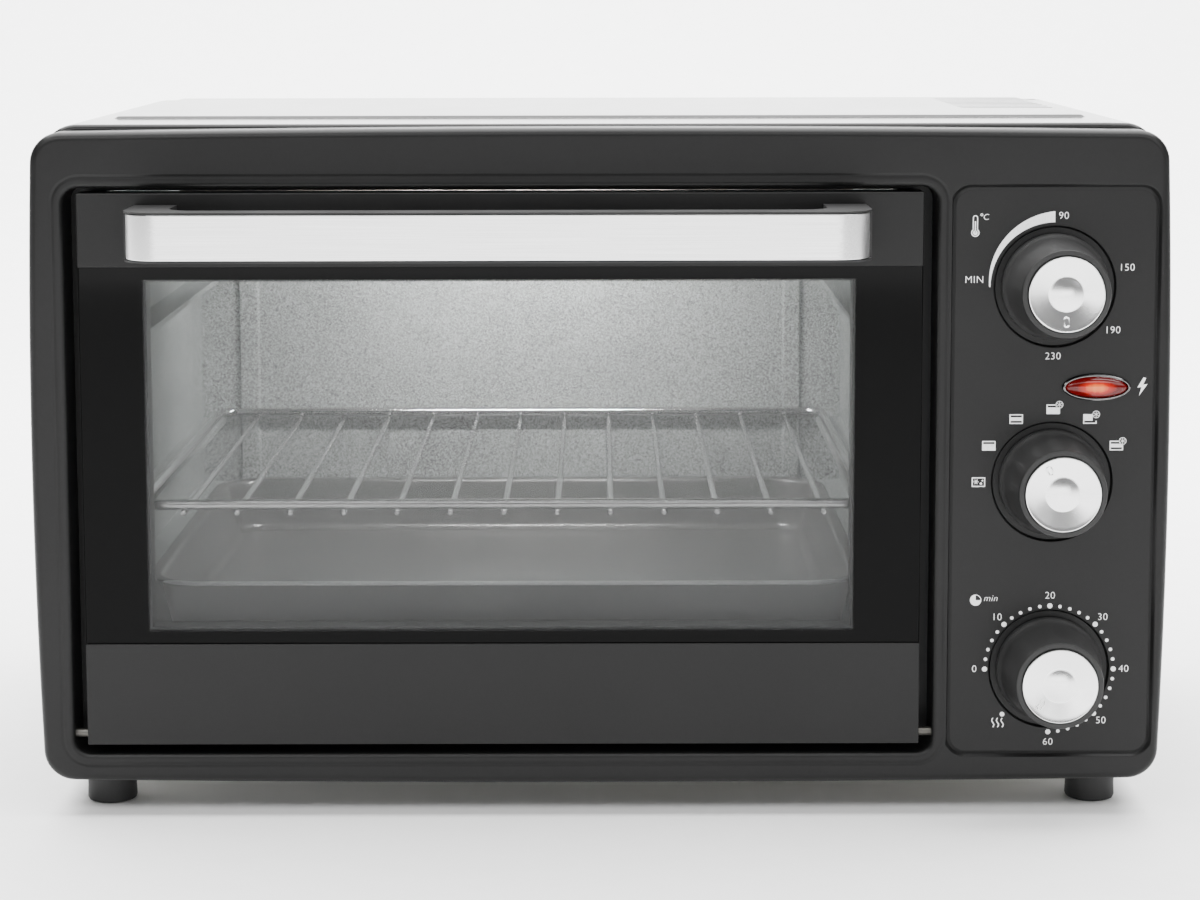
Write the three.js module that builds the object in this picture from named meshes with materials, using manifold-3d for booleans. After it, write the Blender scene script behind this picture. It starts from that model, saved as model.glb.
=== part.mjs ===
// Countertop toaster oven of about 18 litres: a steel box with a drop-down glass door on the left
// and a column of three knobs on the right. Millimetres, +X to the user's right, the door faces -Y,
// +Z up. The shapes are worked out with the front face of the bezel at y = 0 and the feet's
// undersides at z = 0; the last lines move the origin to the middle of the footprint.
import * as THREE from "three";
import { mergeVertices } from "three/addons/utils/BufferGeometryUtils.js";
import Module from "manifold-3d";

const wasm = await Module();
wasm.setup();

// ---- Driving dimensions ----
const BODY_WIDTH = 460; // front bezel at half height
const BODY_HEIGHT = 268; // front bezel at mid width
const BODY_LENGTH = 252; // bezel face to the rear edge of the cover
const REAR_BULGE = 38; // how far the cavity's bulge stands out behind the cover
const FOOT_HEIGHT = 14;
const FOOT_RADIUS = 10.25;
const FOOT_NECK_RADIUS = 6.5;
const FOOT_NECK_HEIGHT = 4.7;
const FOOT_SIDE_INSET = 25; // foot axis to the body's side
const FOOT_END_INSET = 30; // foot axis to the bezel face, and to the rear edge

const FIT_GAP = 0.3; // between pieces that seat on each other
const SLIP_GAP = 0.5; // between pieces that pass through or by each other
const SHEET = 1; // cover, base, liner and cavity sheets

const BEZEL_WALL = 2;
const BEZEL_DEPTH = 16;
const BEZEL_CORNER = 12;
const BEZEL_EDGE = 4.5; // rounding of the front edge
const SIDE_CROWN = 2.7; // how far the bezel's sides bow outwards
const END_CROWN = 1.6; // the same for its top and bottom

const COVER_INSET = 4; // cover inside the bezel's widest line, each side
const COVER_RISE = 0.9; // cover above the bezel's top line
const COVER_CORNER = 14;
const COVER_SKIRT = 2.5; // cover's lower edge above the bezel's lower line
const PANEL_RISE = 1; // raised panel pressed into the cover's top
const PANEL_SIDE_MARGIN = 20.5; // raised panel to the cover's side
const PANEL_FRONT_MARGIN = 49.7; // raised panel to the cover's front edge
const LOUVRE_COUNT = 8;
const LOUVRE_WIDTH = 41;
const LOUVRE_SLOT = 4;
const LOUVRE_PITCH = 14;
const LOUVRE_REAR = 18; // last louvre to the rear edge
const LOUVRE_INSET = 3.5; // louvres to the raised panel's side
const VENT_COUNT = 7;
const VENT_WIDTH = 44;
const VENT_SLOT = 3.5;
const VENT_PITCH = 11;
const BULGE_MARGIN = 10; // bulge round the cavity

const DOOR_SIDE = 20.65; // door to the body's left side
const CONTROL_STRIP = 100.35; // door to the body's right side
const DOOR_LOW = 16.8; // door above the bezel's lower line
const DOOR_DROP = 25.7; // door below the bezel's top line
const DOOR_GAP = 5.5; // door to the aperture's walls, at the sides
const DOOR_GAP_LOW = 4.1;
const DOOR_GAP_TOP = 2.2;
const DOOR_RECESS = 0.3; // rails behind the bezel's face
const LIP_ROUND = 2; // rounding of the aperture's edge
const APERTURE_CORNER = 6.5;
const APERTURE_BEHIND = 1.3; // aperture's wall runs on behind the closed door
const UPPER_RAIL = 29.9;
const LOWER_RAIL = 41.7;
const RAIL_DEPTH = 13.3;
const GLASS_LAP = 2.6; // glass tucked behind each rail's face
const GLASS = 3;
const WINDOW_LEFT = 25.7; // door's edge to the clear window, on each side
const WINDOW_RIGHT = 27;
const WINDOW_LOW = 46.9;
const WINDOW_TOP = 35;
const LINER_EDGE = 2.3; // liner inside the door's edges
const INNER_GLASS_LAP = 7; // inner glass beyond the liner's opening
const HINGE_RISE = 3.6; // hinge line above the door's lower edge
const HINGE_DEPTH = 5.8; // hinge line behind the bezel's face
const PIN_RADIUS = 2;
const PIN_HEAD_RADIUS = 2.6;
const PIN_HEAD = 3;
const PIN_REACH = 11; // pin inside the lower rail
const BRACKET = 1.5;
const BRACKET_HEIGHT = 24;

const HANDLE_INSET = 24.5; // steel strip's end to the door's side
const HANDLE_HEIGHT = 17.7;
const HANDLE_REACH = 40; // strip's front face ahead of the bezel
const HANDLE_THICKNESS = 12;
const HANDLE_STRIP = 1.2;
const HANDLE_DROP = 5.7; // strip's upper edge below the door's upper edge
const HANDLE_BEND = 14;
const HANDLE_RIM = 1; // core seen round the strip
const HANDLE_FILLET = 10; // inside the grip, from bar to post
const POST_WIDTH = 17;
const SCREW_RADIUS = 2;
const SCREW_HEAD_RADIUS = 4;
const SCREW_HEAD = 2.2;
const SCREW_LENGTH = 14;

const CONTROL_LEFT = 11.55; // control field to the door
const CONTROL_RIGHT = 6.3; // control field to the body's side
const CONTROL_LOW = 12.1; // control field above the bezel's lower line
const CONTROL_DROP = 23.8; // control field below the bezel's top line
const CONTROL_CORNER = 7.4;
const CONTROL_RECESS = 0.8;
const WELL_GAP = 2.8; // knob to its well
const WELL_DEPTH = 1.6;
const THERMOSTAT_DROP = 40.2; // thermostat's axis below the field's upper edge
const SELECTOR_DROP = 1.05; // selector's axis below the middle of the other two
const TIMER_RISE = 35.4; // timer's axis above the field's lower edge
const KNOB_BASE_RADIUS = 21.5;
const KNOB_FACE_RADIUS = 16.8;
const KNOB_REACH = 28;
const KNOB_FLANGE = 3; // straight flange at the knob's foot
const CAP_RADIUS = 15;
const CAP_DEPTH = 1.6;
const CAP_DIMPLE_RADIUS = 6.8;
const CAP_DIMPLE = 0.8;
const SHAFT_RADIUS = 3;
const SHAFT_IN_KNOB = 16;
const SHAFT_IN_SWITCH = 8;

const LENS_OFFSET = 17.15; // lens to the right of the knobs' line
const LENS_DROP = 0.95; // lens below the middle of the knobs above and below it
const LENS_HALF_WIDTH = 12.2;
const LENS_HALF_HEIGHT = 4;
const LENS_PROUD = 2.4;
const RIM_WIDTH = 1.3;
const RIM_THICKNESS = 1.4;
const LAMP_RADIUS = 2.6;
const LAMP_LENGTH = 16;

const CAVITY_SIDE = 8.85; // cavity inside the door's sides
const CAVITY_LOW = 28; // cavity's floor above the bezel's lower line
const CAVITY_DROP = 26; // cavity's top below the bezel's top line
const CAVITY_REAR = 10; // back wall to the end of the rear bulge
const RUNNER_LAP = 2.85; // runner under the tray's rim
const RUNNER_FACE = 2.5;
const RUNNER_ROOT = 8;
const RUNNER_END_INSET = 9;
const SPARE_RUNNER_DROP = 60; // shelf position that nothing stands on, below the cavity's top
const SHIELD_OFFSET = 16; // cavity's right wall to the heat shield

const RACK_SIDE = 7.65; // rack to each side wall
const RACK_FRONT_GAP = 1.7; // rack to the front frame
const RACK_REAR_GAP = 3; // rack to the back wall
const RACK_RISE = 83.5; // middle of the frame wire above the cavity's floor
const RACK_CORNER = 9;
const RACK_WIRE = 4.4;
const CROSS_WIRE = 2.6;
const CROSS_COUNT = 13;
const CROSS_INSET = 20.7; // outermost cross wires to the rack's sides

const TRAY_SIDE = 9.65; // tray to each side wall
const TRAY_FRONT_GAP = 2.7;
const TRAY_REAR_GAP = 6;
const TRAY_RISE = 50.5; // top of the rim above the cavity's floor
const TRAY_DEPTH = 26;
const TRAY_RIM = 5;
const TRAY_CORNER = 25;
const TRAY_WALL = 1.2;
const TRAY_DRAFT = 4;

const ELEMENT_RADIUS = 4;
const ELEMENT_INSET = 62; // element axis to the front and back walls
const UPPER_ELEMENT_DROP = 17; // below the cavity's top
const LOWER_ELEMENT_RISE = 14; // above the cavity's floor
const ELEMENT_TAIL = 13; // element beyond the cavity's side walls
const ELEMENT_PIN = 4; // terminal pin beyond the sheath
const HOLDER_WIDTH = 8;
const HOLDER_HEIGHT = 16;

const FAN_RADIUS = 40;
const FAN_WIDTH = 9;
const FAN_HUB_RADIUS = 9;
const FAN_BLADES = 8;
const FAN_BLADE = 1.6;
const FAN_RISE = 8; // fan above the cavity's middle
const FAN_SHAFT_RADIUS = 2;
const FAN_SHAFT_LENGTH = 26;
const MOTOR_RADIUS = 23;
const MOTOR_LENGTH = 30;
const GRILLE_HOLE_RADIUS = 3.5;
const GRILLE_RINGS = [[0, 1], [12, 6], [24, 12]]; // radius and number of holes

const THERMOSTAT_SIZE = 34;
const THERMOSTAT_DEPTH = 26;
const SELECTOR_RADIUS = 20;
const SELECTOR_DEPTH = 32;
const TIMER_SIZE = 46;
const TIMER_DEPTH = 34;
const BELL_RADIUS = 21;
const BELL_DEPTH = 11;
const TERMINAL = [30, 16, 14];
const GLAND_RADIUS = 9;
const GLAND_NECK = 6.5;
const GLAND_BORE = 3.6;
const GLAND_FLANGE = 4;
const GLAND_SIDE = 50; // gland to the body's side
const GLAND_RISE = 32; // gland above the bezel's lower line

const ARC_STEPS = 4; // straight steps in a quarter-turn fillet
const ROUND_SIDES = 24; // sides of the large round pieces
const WIRE_SIDES = 8;
const THIN_WIRE_SIDES = 6;

// ---- Places that follow from the dimensions ----
const bodyBottom = FOOT_HEIGHT;
const bodyTop = bodyBottom + BODY_HEIGHT;
const bodyMid = (bodyBottom + bodyTop) / 2;
const coverSide = BODY_WIDTH / 2 - COVER_INSET;
const coverTop = bodyTop + COVER_RISE;
const coverLow = bodyBottom + COVER_SKIRT;
const coverFront = BEZEL_DEPTH + FIT_GAP;
const rearEnd = BODY_LENGTH + REAR_BULGE;
const baseBottom = FOOT_HEIGHT - SHEET + FOOT_NECK_HEIGHT + FIT_GAP;
const panelSide = coverSide - PANEL_SIDE_MARGIN;
const louvreFront = BODY_LENGTH - LOUVRE_REAR - LOUVRE_SLOT - (LOUVRE_COUNT - 1) * LOUVRE_PITCH;
const door = {
  left: -BODY_WIDTH / 2 + DOOR_SIDE,
  right: BODY_WIDTH / 2 - CONTROL_STRIP,
  bottom: bodyBottom + DOOR_LOW,
  top: bodyTop - DOOR_DROP,
};
const doorMid = (door.left + door.right) / 2;
const aperture = {
  left: door.left - DOOR_GAP,
  right: door.right + DOOR_GAP,
  bottom: door.bottom - DOOR_GAP_LOW,
  top: door.top + DOOR_GAP_TOP,
};
const windowPane = {
  left: door.left + WINDOW_LEFT,
  right: door.right - WINDOW_RIGHT,
  bottom: door.bottom + WINDOW_LOW,
  top: door.top - WINDOW_TOP,
};
const railBack = DOOR_RECESS + RAIL_DEPTH;
const innerGlassFront = railBack + 2 * FIT_GAP + SHEET;
const hingeZ = door.bottom + HINGE_RISE;
const apertureDepth = innerGlassFront + GLASS + APERTURE_BEHIND;
const frameFront = apertureDepth + SLIP_GAP;
const frameBack = frameFront + SHEET;
const cavity = {
  left: door.left + CAVITY_SIDE,
  right: door.right - CAVITY_SIDE,
  bottom: bodyBottom + CAVITY_LOW,
  top: bodyTop - CAVITY_DROP,
  front: frameBack + FIT_GAP,
  back: rearEnd - CAVITY_REAR,
};
const spareRunner = cavity.top - SPARE_RUNNER_DROP;
const runnerReach = TRAY_SIDE + RUNNER_LAP;
const rackPlace = {
  width: cavity.right - cavity.left - 2 * RACK_SIDE,
  front: cavity.front + RACK_FRONT_GAP,
  back: cavity.back - RACK_REAR_GAP,
  z: cavity.bottom + RACK_RISE,
};
const trayPlace = {
  width: cavity.right - cavity.left - 2 * TRAY_SIDE,
  front: cavity.front + TRAY_FRONT_GAP,
  back: cavity.back - TRAY_REAR_GAP,
  rim: cavity.bottom + TRAY_RISE,
};
const shieldLeft = cavity.right + SHIELD_OFFSET;
const control = {
  left: door.right + CONTROL_LEFT,
  right: BODY_WIDTH / 2 - CONTROL_RIGHT,
  bottom: bodyBottom + CONTROL_LOW,
  top: bodyTop - CONTROL_DROP,
};
const knobX = (control.left + control.right) / 2;
const thermostatZ = control.top - THERMOSTAT_DROP;
const timerZ = control.bottom + TIMER_RISE;
const knobHeights = {
  thermostat: thermostatZ,
  selector: (thermostatZ + timerZ) / 2 - SELECTOR_DROP,
  timer: timerZ,
};
const wellRadius = KNOB_BASE_RADIUS + WELL_GAP;
const lensX = knobX + LENS_OFFSET;
const lensZ = (knobHeights.thermostat + knobHeights.selector) / 2 - LENS_DROP;
const glandX = BODY_WIDTH / 2 - GLAND_SIDE;
const glandZ = bodyBottom + GLAND_RISE;
const controlFace = CONTROL_RECESS;
const wellFloor = controlFace + WELL_DEPTH;
const panelBack = wellFloor + BEZEL_WALL;
const switchFront = panelBack + SLIP_GAP;
const knobBack = wellFloor - SLIP_GAP;
const elementRows = {
  upper: cavity.top - UPPER_ELEMENT_DROP,
  lower: cavity.bottom + LOWER_ELEMENT_RISE,
};
const elementPlaces = {
  front: cavity.front + ELEMENT_INSET,
  rear: cavity.back - ELEMENT_INSET,
};
const fanPlace = {
  y: (cavity.front + cavity.back) / 2,
  z: (cavity.bottom + cavity.top) / 2 + FAN_RISE,
};

// ---- Finishes ----
const finish = (color, roughness, metalness) => ({ color, roughness, metalness });
const SATIN_BLACK = finish(0x3c3c3d, 0.45, 0.1);
const GLOSS_BLACK = finish(0x101011, 0.12, 0.3);
const BLACK_PLASTIC = finish(0x1b1b1c, 0.5, 0);
const BRUSHED_STEEL = finish(0xcfd0d2, 0.32, 1);
const ALUMINISED = finish(0x9aa09e, 0.5, 0.8);
const ZINC_STEEL = finish(0xa7a9ab, 0.4, 1);
const TINTED_GLASS = finish(0x0b0b0c, 0.05, 0);
const CLEAR_GLASS = finish(0xdfe6e4, 0.05, 0);
const CHROME_WIRE = finish(0xd8d8d6, 0.2, 1);
const TRAY_ENAMEL = finish(0x55524f, 0.35, 0.4);
const ELEMENT_METAL = finish(0x4d4b49, 0.6, 0.8);
const CERAMIC = finish(0xe6e0d2, 0.6, 0);
const RED_LENS = finish(0xd02010, 0.2, 0);
const AMBER = finish(0xff8a3a, 0.3, 0);
const RUBBER = finish(0x161616, 0.8, 0);

// ---- Solids ----

// A closed geometry as a solid that can be joined and cut.
function solid(geometry) {
  const bare = geometry.index ? geometry.toNonIndexed() : geometry.clone();
  bare.deleteAttribute("normal");
  bare.deleteAttribute("uv");
  const merged = mergeVertices(bare, 1e-3);
  return new wasm.Manifold(
    new wasm.Mesh({
      numProp: 3,
      vertProperties: merged.attributes.position.array,
      triVerts: new Uint32Array(merged.index.array),
    }),
  );
}

// The outside of a solid as a geometry that a mesh can show.
function geometryOf(made) {
  const { vertProperties, triVerts } = made.getMesh();
  const geometry = new THREE.BufferGeometry();
  geometry.setAttribute("position", new THREE.BufferAttribute(vertProperties, 3));
  geometry.setIndex(new THREE.BufferAttribute(triVerts, 1));
  geometry.computeVertexNormals();
  return geometry;
}

const join = (first, ...others) => others.reduce((made, next) => made.add(next), first);
const cut = (first, ...others) => others.reduce((made, next) => made.subtract(next), first);

// A box between two corners.
function block([x0, x1], [y0, y1], [z0, z1]) {
  const geometry = new THREE.BoxGeometry(x1 - x0, y1 - y0, z1 - z0);
  return solid(geometry.translate((x0 + x1) / 2, (y0 + y1) / 2, (z0 + z1) / 2));
}

// A rectangle with rounded corners, between low and high on its two axes.
function roundedRectangle([a0, a1], [b0, b1], radius) {
  const shape = new THREE.Shape();
  const quarter = Math.PI / 2;
  shape.absarc(a1 - radius, b0 + radius, radius, -quarter, 0);
  shape.absarc(a1 - radius, b1 - radius, radius, 0, quarter);
  shape.absarc(a0 + radius, b1 - radius, radius, quarter, 2 * quarter);
  shape.absarc(a0 + radius, b0 + radius, radius, 2 * quarter, 3 * quarter);
  return shape;
}

// A shape drawn in x and z, extruded from y0 to y1.
function extrudeY(shape, y0, y1, options = {}) {
  const settings = { depth: y1 - y0, bevelEnabled: false, curveSegments: ARC_STEPS, ...options };
  return new THREE.ExtrudeGeometry(shape, settings).rotateX(Math.PI / 2).translate(0, y1, 0);
}

// A shape drawn in x and y, extruded from z0 to z1.
function extrudeZ(shape, z0, z1, options = {}) {
  const settings = { depth: z1 - z0, bevelEnabled: false, curveSegments: ARC_STEPS, ...options };
  return new THREE.ExtrudeGeometry(shape, settings).translate(0, 0, z0);
}

// Spreads the vertices of one end of an extrusion away from a centre, which gives it draft.
function spread(geometry, axis, at, centre, scale) {
  const position = geometry.attributes.position;
  const point = new THREE.Vector3();
  for (let i = 0; i < position.count; i++) {
    point.fromBufferAttribute(position, i);
    if (Math.abs(point[axis] - at) > SHEET / 2) continue;
    point.sub(centre).multiply(scale).add(centre);
    position.setXYZ(i, point.x, point.y, point.z);
  }
  return geometry;
}

// A round rod between two points.
function rod(from, to, radius, sides = WIRE_SIDES) {
  const a = new THREE.Vector3(...from);
  const b = new THREE.Vector3(...to);
  const geometry = new THREE.CylinderGeometry(radius, radius, a.distanceTo(b), sides);
  const up = new THREE.Vector3(0, 1, 0);
  const turn = new THREE.Quaternion().setFromUnitVectors(up, b.clone().sub(a).normalize());
  geometry.applyQuaternion(turn);
  return solid(geometry.translate(...a.add(b).multiplyScalar(0.5)));
}

// A profile of [radius, height] pairs turned about the y axis, then moved to its place.
function turnedY(profile, x, z, sides = ROUND_SIDES) {
  const points = profile.map(([radius, height]) => new THREE.Vector2(radius, height));
  return solid(new THREE.LatheGeometry(points, sides).translate(x, 0, z));
}

// The same about the z axis.
function turnedZ(profile, x, y, sides = ROUND_SIDES) {
  const points = profile.map(([radius, height]) => new THREE.Vector2(radius, height));
  return solid(new THREE.LatheGeometry(points, sides).rotateX(Math.PI / 2).translate(x, y, 0));
}

// A path through a few points whose corners are rounded, for bent wire.
class BentPath extends THREE.Curve {
  constructor(corners, radius) {
    super();
    this.points = corners.flatMap((corner, i) => {
      if (i === 0 || i === corners.length - 1) return [corner];
      const before = corners[i - 1].clone().sub(corner).setLength(radius).add(corner);
      const after = corners[i + 1].clone().sub(corner).setLength(radius).add(corner);
      return new THREE.QuadraticBezierCurve3(before, corner, after).getPoints(ARC_STEPS - 2);
    });
  }
  getPoint(t) {
    const place = t * (this.points.length - 1);
    const i = Math.min(Math.floor(place), this.points.length - 2);
    return this.points[i].clone().lerp(this.points[i + 1], place - i);
  }
  getPointAt(t) {
    return this.getPoint(t);
  }
  getTangentAt(t) {
    return this.getTangent(t);
  }
}

// Bent wire of a round section.
function bentWire(corners, radius, bend) {
  const path = new BentPath(corners.map((corner) => new THREE.Vector3(...corner)), bend);
  const section = new THREE.Shape().absarc(0, 0, radius, 0, 2 * Math.PI);
  const settings = { steps: path.points.length - 1, extrudePath: path, curveSegments: WIRE_SIDES };
  return solid(new THREE.ExtrudeGeometry(section, settings));
}

// ---- The assembly ----
const oven = new THREE.Group();

function add(name, made, look) {
  const mesh = new THREE.Mesh(geometryOf(made), new THREE.MeshStandardMaterial(look));
  mesh.name = name;
  oven.add(mesh);
}

// ---- Body: bezel, cover, base, rear panel and feet ----

// The bezel's outline drawn in by an inset. Its sides and ends bow outwards.
function bezelOutline(inset) {
  const halfWidth = BODY_WIDTH / 2 - inset;
  const halfHeight = BODY_HEIGHT / 2 - inset;
  const radius = BEZEL_CORNER - inset;
  const sideSteps = 4;
  const corners = [[1, 1], [-1, 1], [-1, -1], [1, -1]];
  const flat = corners.flatMap(([sx, sz], k) => {
    const onArc = (sideX, sideZ, turn) => [
      sideX * (halfWidth - radius) + radius * Math.cos((turn * Math.PI) / 2),
      sideZ * (halfHeight - radius) + radius * Math.sin((turn * Math.PI) / 2),
    ];
    const arc = Array.from({ length: ARC_STEPS + 1 }, (_, i) => onArc(sx, sz, k + i / ARC_STEPS));
    const [x0, z0] = arc.at(-1);
    const [x1, z1] = onArc(...corners[(k + 1) % corners.length], k + 1);
    const side = Array.from({ length: sideSteps - 1 }, (_, i) => {
      const t = (i + 1) / sideSteps;
      return [x0 + (x1 - x0) * t, z0 + (z1 - z0) * t];
    });
    return [...arc, ...side];
  });
  return new THREE.Shape(
    flat.map(([x, z]) => new THREE.Vector2(
      x * (1 - (SIDE_CROWN / halfWidth) * (z / halfHeight) ** 2),
      bodyMid + z * (1 - (END_CROWN / halfHeight) * (x / halfWidth) ** 2),
    )),
  );
}

// The bezel's outside, or its inside when given the wall, with the front edge rounded.
function bezelForm(wall) {
  const edge = BEZEL_EDGE - wall;
  const bevel = { bevelEnabled: true, bevelThickness: edge, bevelSize: edge, bevelSegments: 2 };
  const form = solid(extrudeY(bezelOutline(BEZEL_EDGE), BEZEL_EDGE, 3 * BEZEL_DEPTH, bevel));
  const beyond = BODY_WIDTH;
  return cut(form, block([-beyond, beyond], [BEZEL_DEPTH + wall, beyond], [-beyond, beyond]));
}

function controlShape(growth) {
  return roundedRectangle(
    [control.left - growth, control.right + growth],
    [control.bottom - growth, control.top + growth],
    CONTROL_CORNER,
  );
}

function apertureShape(growth) {
  return roundedRectangle(
    [aperture.left - growth, aperture.right + growth],
    [aperture.bottom - growth, aperture.top + growth],
    APERTURE_CORNER + growth,
  );
}

function lensShape(growth) {
  const shape = new THREE.Shape();
  const turn = 2 * Math.PI;
  shape.absellipse(lensX, lensZ, LENS_HALF_WIDTH + growth, LENS_HALF_HEIGHT + growth, 0, turn);
  return shape;
}

// Pressed shell with the door's aperture, the sunk control field and the knobs' wells.
function frontBezel() {
  const heights = Object.values(knobHeights);
  const disc = (z, radius, y0, y1) => rod([knobX, y0, z], [knobX, y1, z], radius, ROUND_SIDES);
  const centre = new THREE.Vector3(
    (aperture.left + aperture.right) / 2, 0, (aperture.bottom + aperture.top) / 2,
  );
  const flare = new THREE.Vector3(
    1 + (2 * LIP_ROUND) / (aperture.right - aperture.left), 1,
    1 + (2 * LIP_ROUND) / (aperture.top - aperture.bottom),
  );
  const lip = spread(extrudeY(apertureShape(0), 0, LIP_ROUND), "y", 0, centre, flare);
  return cut(
    join(
      cut(bezelForm(0), bezelForm(BEZEL_WALL)),
      solid(extrudeY(apertureShape(LIP_ROUND), BEZEL_WALL / 2, apertureDepth)),
      solid(extrudeY(controlShape(BEZEL_WALL), BEZEL_WALL / 2, controlFace + BEZEL_WALL)),
      ...heights.map((z) => disc(z, wellRadius + BEZEL_WALL, controlFace, panelBack)),
    ),
    solid(extrudeY(apertureShape(0), -SHEET, 2 * apertureDepth)),
    solid(lip),
    solid(extrudeY(controlShape(0), -SHEET, controlFace)),
    ...heights.map((z) => disc(z, wellRadius, -SHEET, wellFloor)),
    ...heights.map((z) => disc(z, SHAFT_RADIUS + SLIP_GAP, 0, 2 * panelBack)),
    solid(extrudeY(lensShape(SLIP_GAP), -SHEET, 2 * panelBack)),
    rod(
      [aperture.left - 2 * LIP_ROUND, HINGE_DEPTH, hingeZ],
      [aperture.right + 2 * LIP_ROUND, HINGE_DEPTH, hingeZ],
      PIN_RADIUS + SLIP_GAP,
    ),
  );
}

// One row of slots cut through a sheet: [x range], first y, count, and the z range to cut.
function slotRow(xRange, firstY, count, slot, pitch, zRange) {
  return Array.from({ length: count }, (_, i) => {
    const y = firstY + i * pitch;
    return block(xRange, [y, y + slot], zRange);
  });
}

// The cover's section seen from the front, shrunk by an inset, from y0 to y1.
function hoop(inset, y0, y1) {
  const side = coverSide - inset;
  const sunk = coverLow - 2 * COVER_CORNER;
  const shape = roundedRectangle([-side, side], [sunk, coverTop - inset], COVER_CORNER - inset);
  const below = block([-BODY_WIDTH, BODY_WIDTH], [y0 - SHEET, y1 + SHEET], [sunk - SHEET, coverLow]);
  return cut(solid(extrudeY(shape, y0, y1)), below);
}

// One sheet bent over both sides and the top, with a raised panel and cooling louvres.
function outerCover() {
  const panelSpan = [-panelSide, panelSide];
  const louvreRight = panelSide - LOUVRE_INSET;
  return cut(
    join(
      hoop(0, coverFront, BODY_LENGTH),
      block(
        panelSpan, [coverFront + PANEL_FRONT_MARGIN, BODY_LENGTH],
        [coverTop - SHEET / 2, coverTop + PANEL_RISE],
      ),
    ),
    hoop(SHEET, 0, 2 * BODY_LENGTH),
    ...slotRow(
      [louvreRight - LOUVRE_WIDTH, louvreRight], louvreFront, LOUVRE_COUNT,
      LOUVRE_SLOT, LOUVRE_PITCH, [coverTop - 2 * SHEET, coverTop + 2 * PANEL_RISE],
    ),
  );
}

// Flat floor sheet inside the cover's lower edges, slotted under the control side.
function basePlate() {
  const side = coverSide - SHEET - SLIP_GAP;
  return cut(
    block(
      [-side, side], [coverFront + 2 * SHEET, BODY_LENGTH - FIT_GAP],
      [baseBottom, baseBottom + SHEET],
    ),
    ...slotRow(
      [knobX - VENT_WIDTH / 2, knobX + VENT_WIDTH / 2], louvreFront, VENT_COUNT,
      VENT_SLOT, VENT_PITCH, [baseBottom - SHEET, baseBottom + 2 * SHEET],
    ),
  );
}

// Rear sheet with a deep bulge that makes room for the cavity, vents and the cord's hole.
function rearPanel() {
  const back = BODY_LENGTH + FIT_GAP;
  const bulge = (growth) => roundedRectangle(
    [cavity.left - BULGE_MARGIN - growth, shieldLeft - SHEET * 2 + growth],
    [cavity.bottom - BULGE_MARGIN - growth, cavity.top + BULGE_MARGIN + growth],
    COVER_CORNER + growth,
  );
  const vents = Array.from({ length: VENT_COUNT }, (_, i) => {
    const z = bodyMid + i * VENT_PITCH;
    return block(
      [knobX - VENT_WIDTH / 2, knobX + VENT_WIDTH / 2],
      [BODY_LENGTH, rearEnd], [z, z + VENT_SLOT],
    );
  });
  return cut(
    join(
      hoop(0, back, back + SHEET),
      solid(extrudeY(bulge(SHEET), back, rearEnd)),
    ),
    solid(extrudeY(bulge(0), 0, rearEnd - SHEET)),
    ...vents,
    rod(
      [glandX, BODY_LENGTH, glandZ], [glandX, rearEnd, glandZ],
      GLAND_NECK + FIT_GAP, ROUND_SIDES / 2,
    ),
  );
}

// Moulded foot: a disc with a neck that meets the base sheet.
function foot(x, y) {
  const top = baseBottom - FIT_GAP;
  return turnedZ(
    [[0, 0], [FOOT_RADIUS - 1, 0], [FOOT_RADIUS, 1], [FOOT_RADIUS, FOOT_HEIGHT - SHEET],
      [FOOT_NECK_RADIUS, FOOT_HEIGHT - SHEET], [FOOT_NECK_RADIUS, top], [0, top]],
    x, y, ROUND_SIDES / 2,
  );
}

add("front_bezel", frontBezel(), SATIN_BLACK);
add("outer_cover", outerCover(), GLOSS_BLACK);
add("base_plate", basePlate(), ZINC_STEEL);
add("rear_panel", rearPanel(), SATIN_BLACK);
for (const [end, y] of [["front", FOOT_END_INSET], ["rear", BODY_LENGTH - FOOT_END_INSET]])
  for (const [side, sign] of [["left", -1], ["right", 1]])
    add(`foot_${end}_${side}`, foot(sign * (BODY_WIDTH / 2 - FOOT_SIDE_INSET), y), RUBBER);

// ---- Cavity: front frame, five sheets, heat shield ----

// Steel frame behind the bezel, which closes the space round the cavity's mouth.
function frontFrame() {
  const margin = LIP_ROUND + 6 * SHEET;
  return cut(
    block(
      [aperture.left - margin, aperture.right + margin],
      [frameFront, frameBack],
      [baseBottom + 2 * SHEET, aperture.top + margin],
    ),
    block([cavity.left, cavity.right], [0, 2 * frameBack], [cavity.bottom, cavity.top]),
  );
}

// Side wall with three pressed runners; sign is the direction that its inside faces.
function cavitySide(inside, sign, holes) {
  const wall = block(
    [Math.min(inside, inside - sign * SHEET), Math.max(inside, inside - sign * SHEET)],
    [cavity.front, cavity.back - FIT_GAP], [cavity.bottom, cavity.top],
  );
  const runner = (top) => solid(extrudeY(
    new THREE.Shape([
      new THREE.Vector2(inside - (sign * SHEET) / 2, top),
      new THREE.Vector2(inside + sign * runnerReach, top),
      new THREE.Vector2(inside + sign * runnerReach, top - RUNNER_FACE),
      new THREE.Vector2(inside - (sign * SHEET) / 2, top - RUNNER_ROOT),
    ]),
    cavity.front + RUNNER_END_INSET, cavity.back - RUNNER_END_INSET,
  ));
  const rackRest = rackPlace.z - RACK_WIRE / 2 - FIT_GAP;
  const trayRest = trayPlace.rim - TRAY_WALL - FIT_GAP;
  return cut(join(wall, ...[spareRunner, rackRest, trayRest].map(runner)), ...holes);
}

// Holes in a side wall for the four elements.
function elementHoles(x) {
  return Object.values(elementRows).flatMap((z) => Object.values(elementPlaces).map((y) =>
    rod([x - 2 * SHEET, y, z], [x + 2 * SHEET, y, z], ELEMENT_RADIUS + SLIP_GAP)));
}

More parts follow.
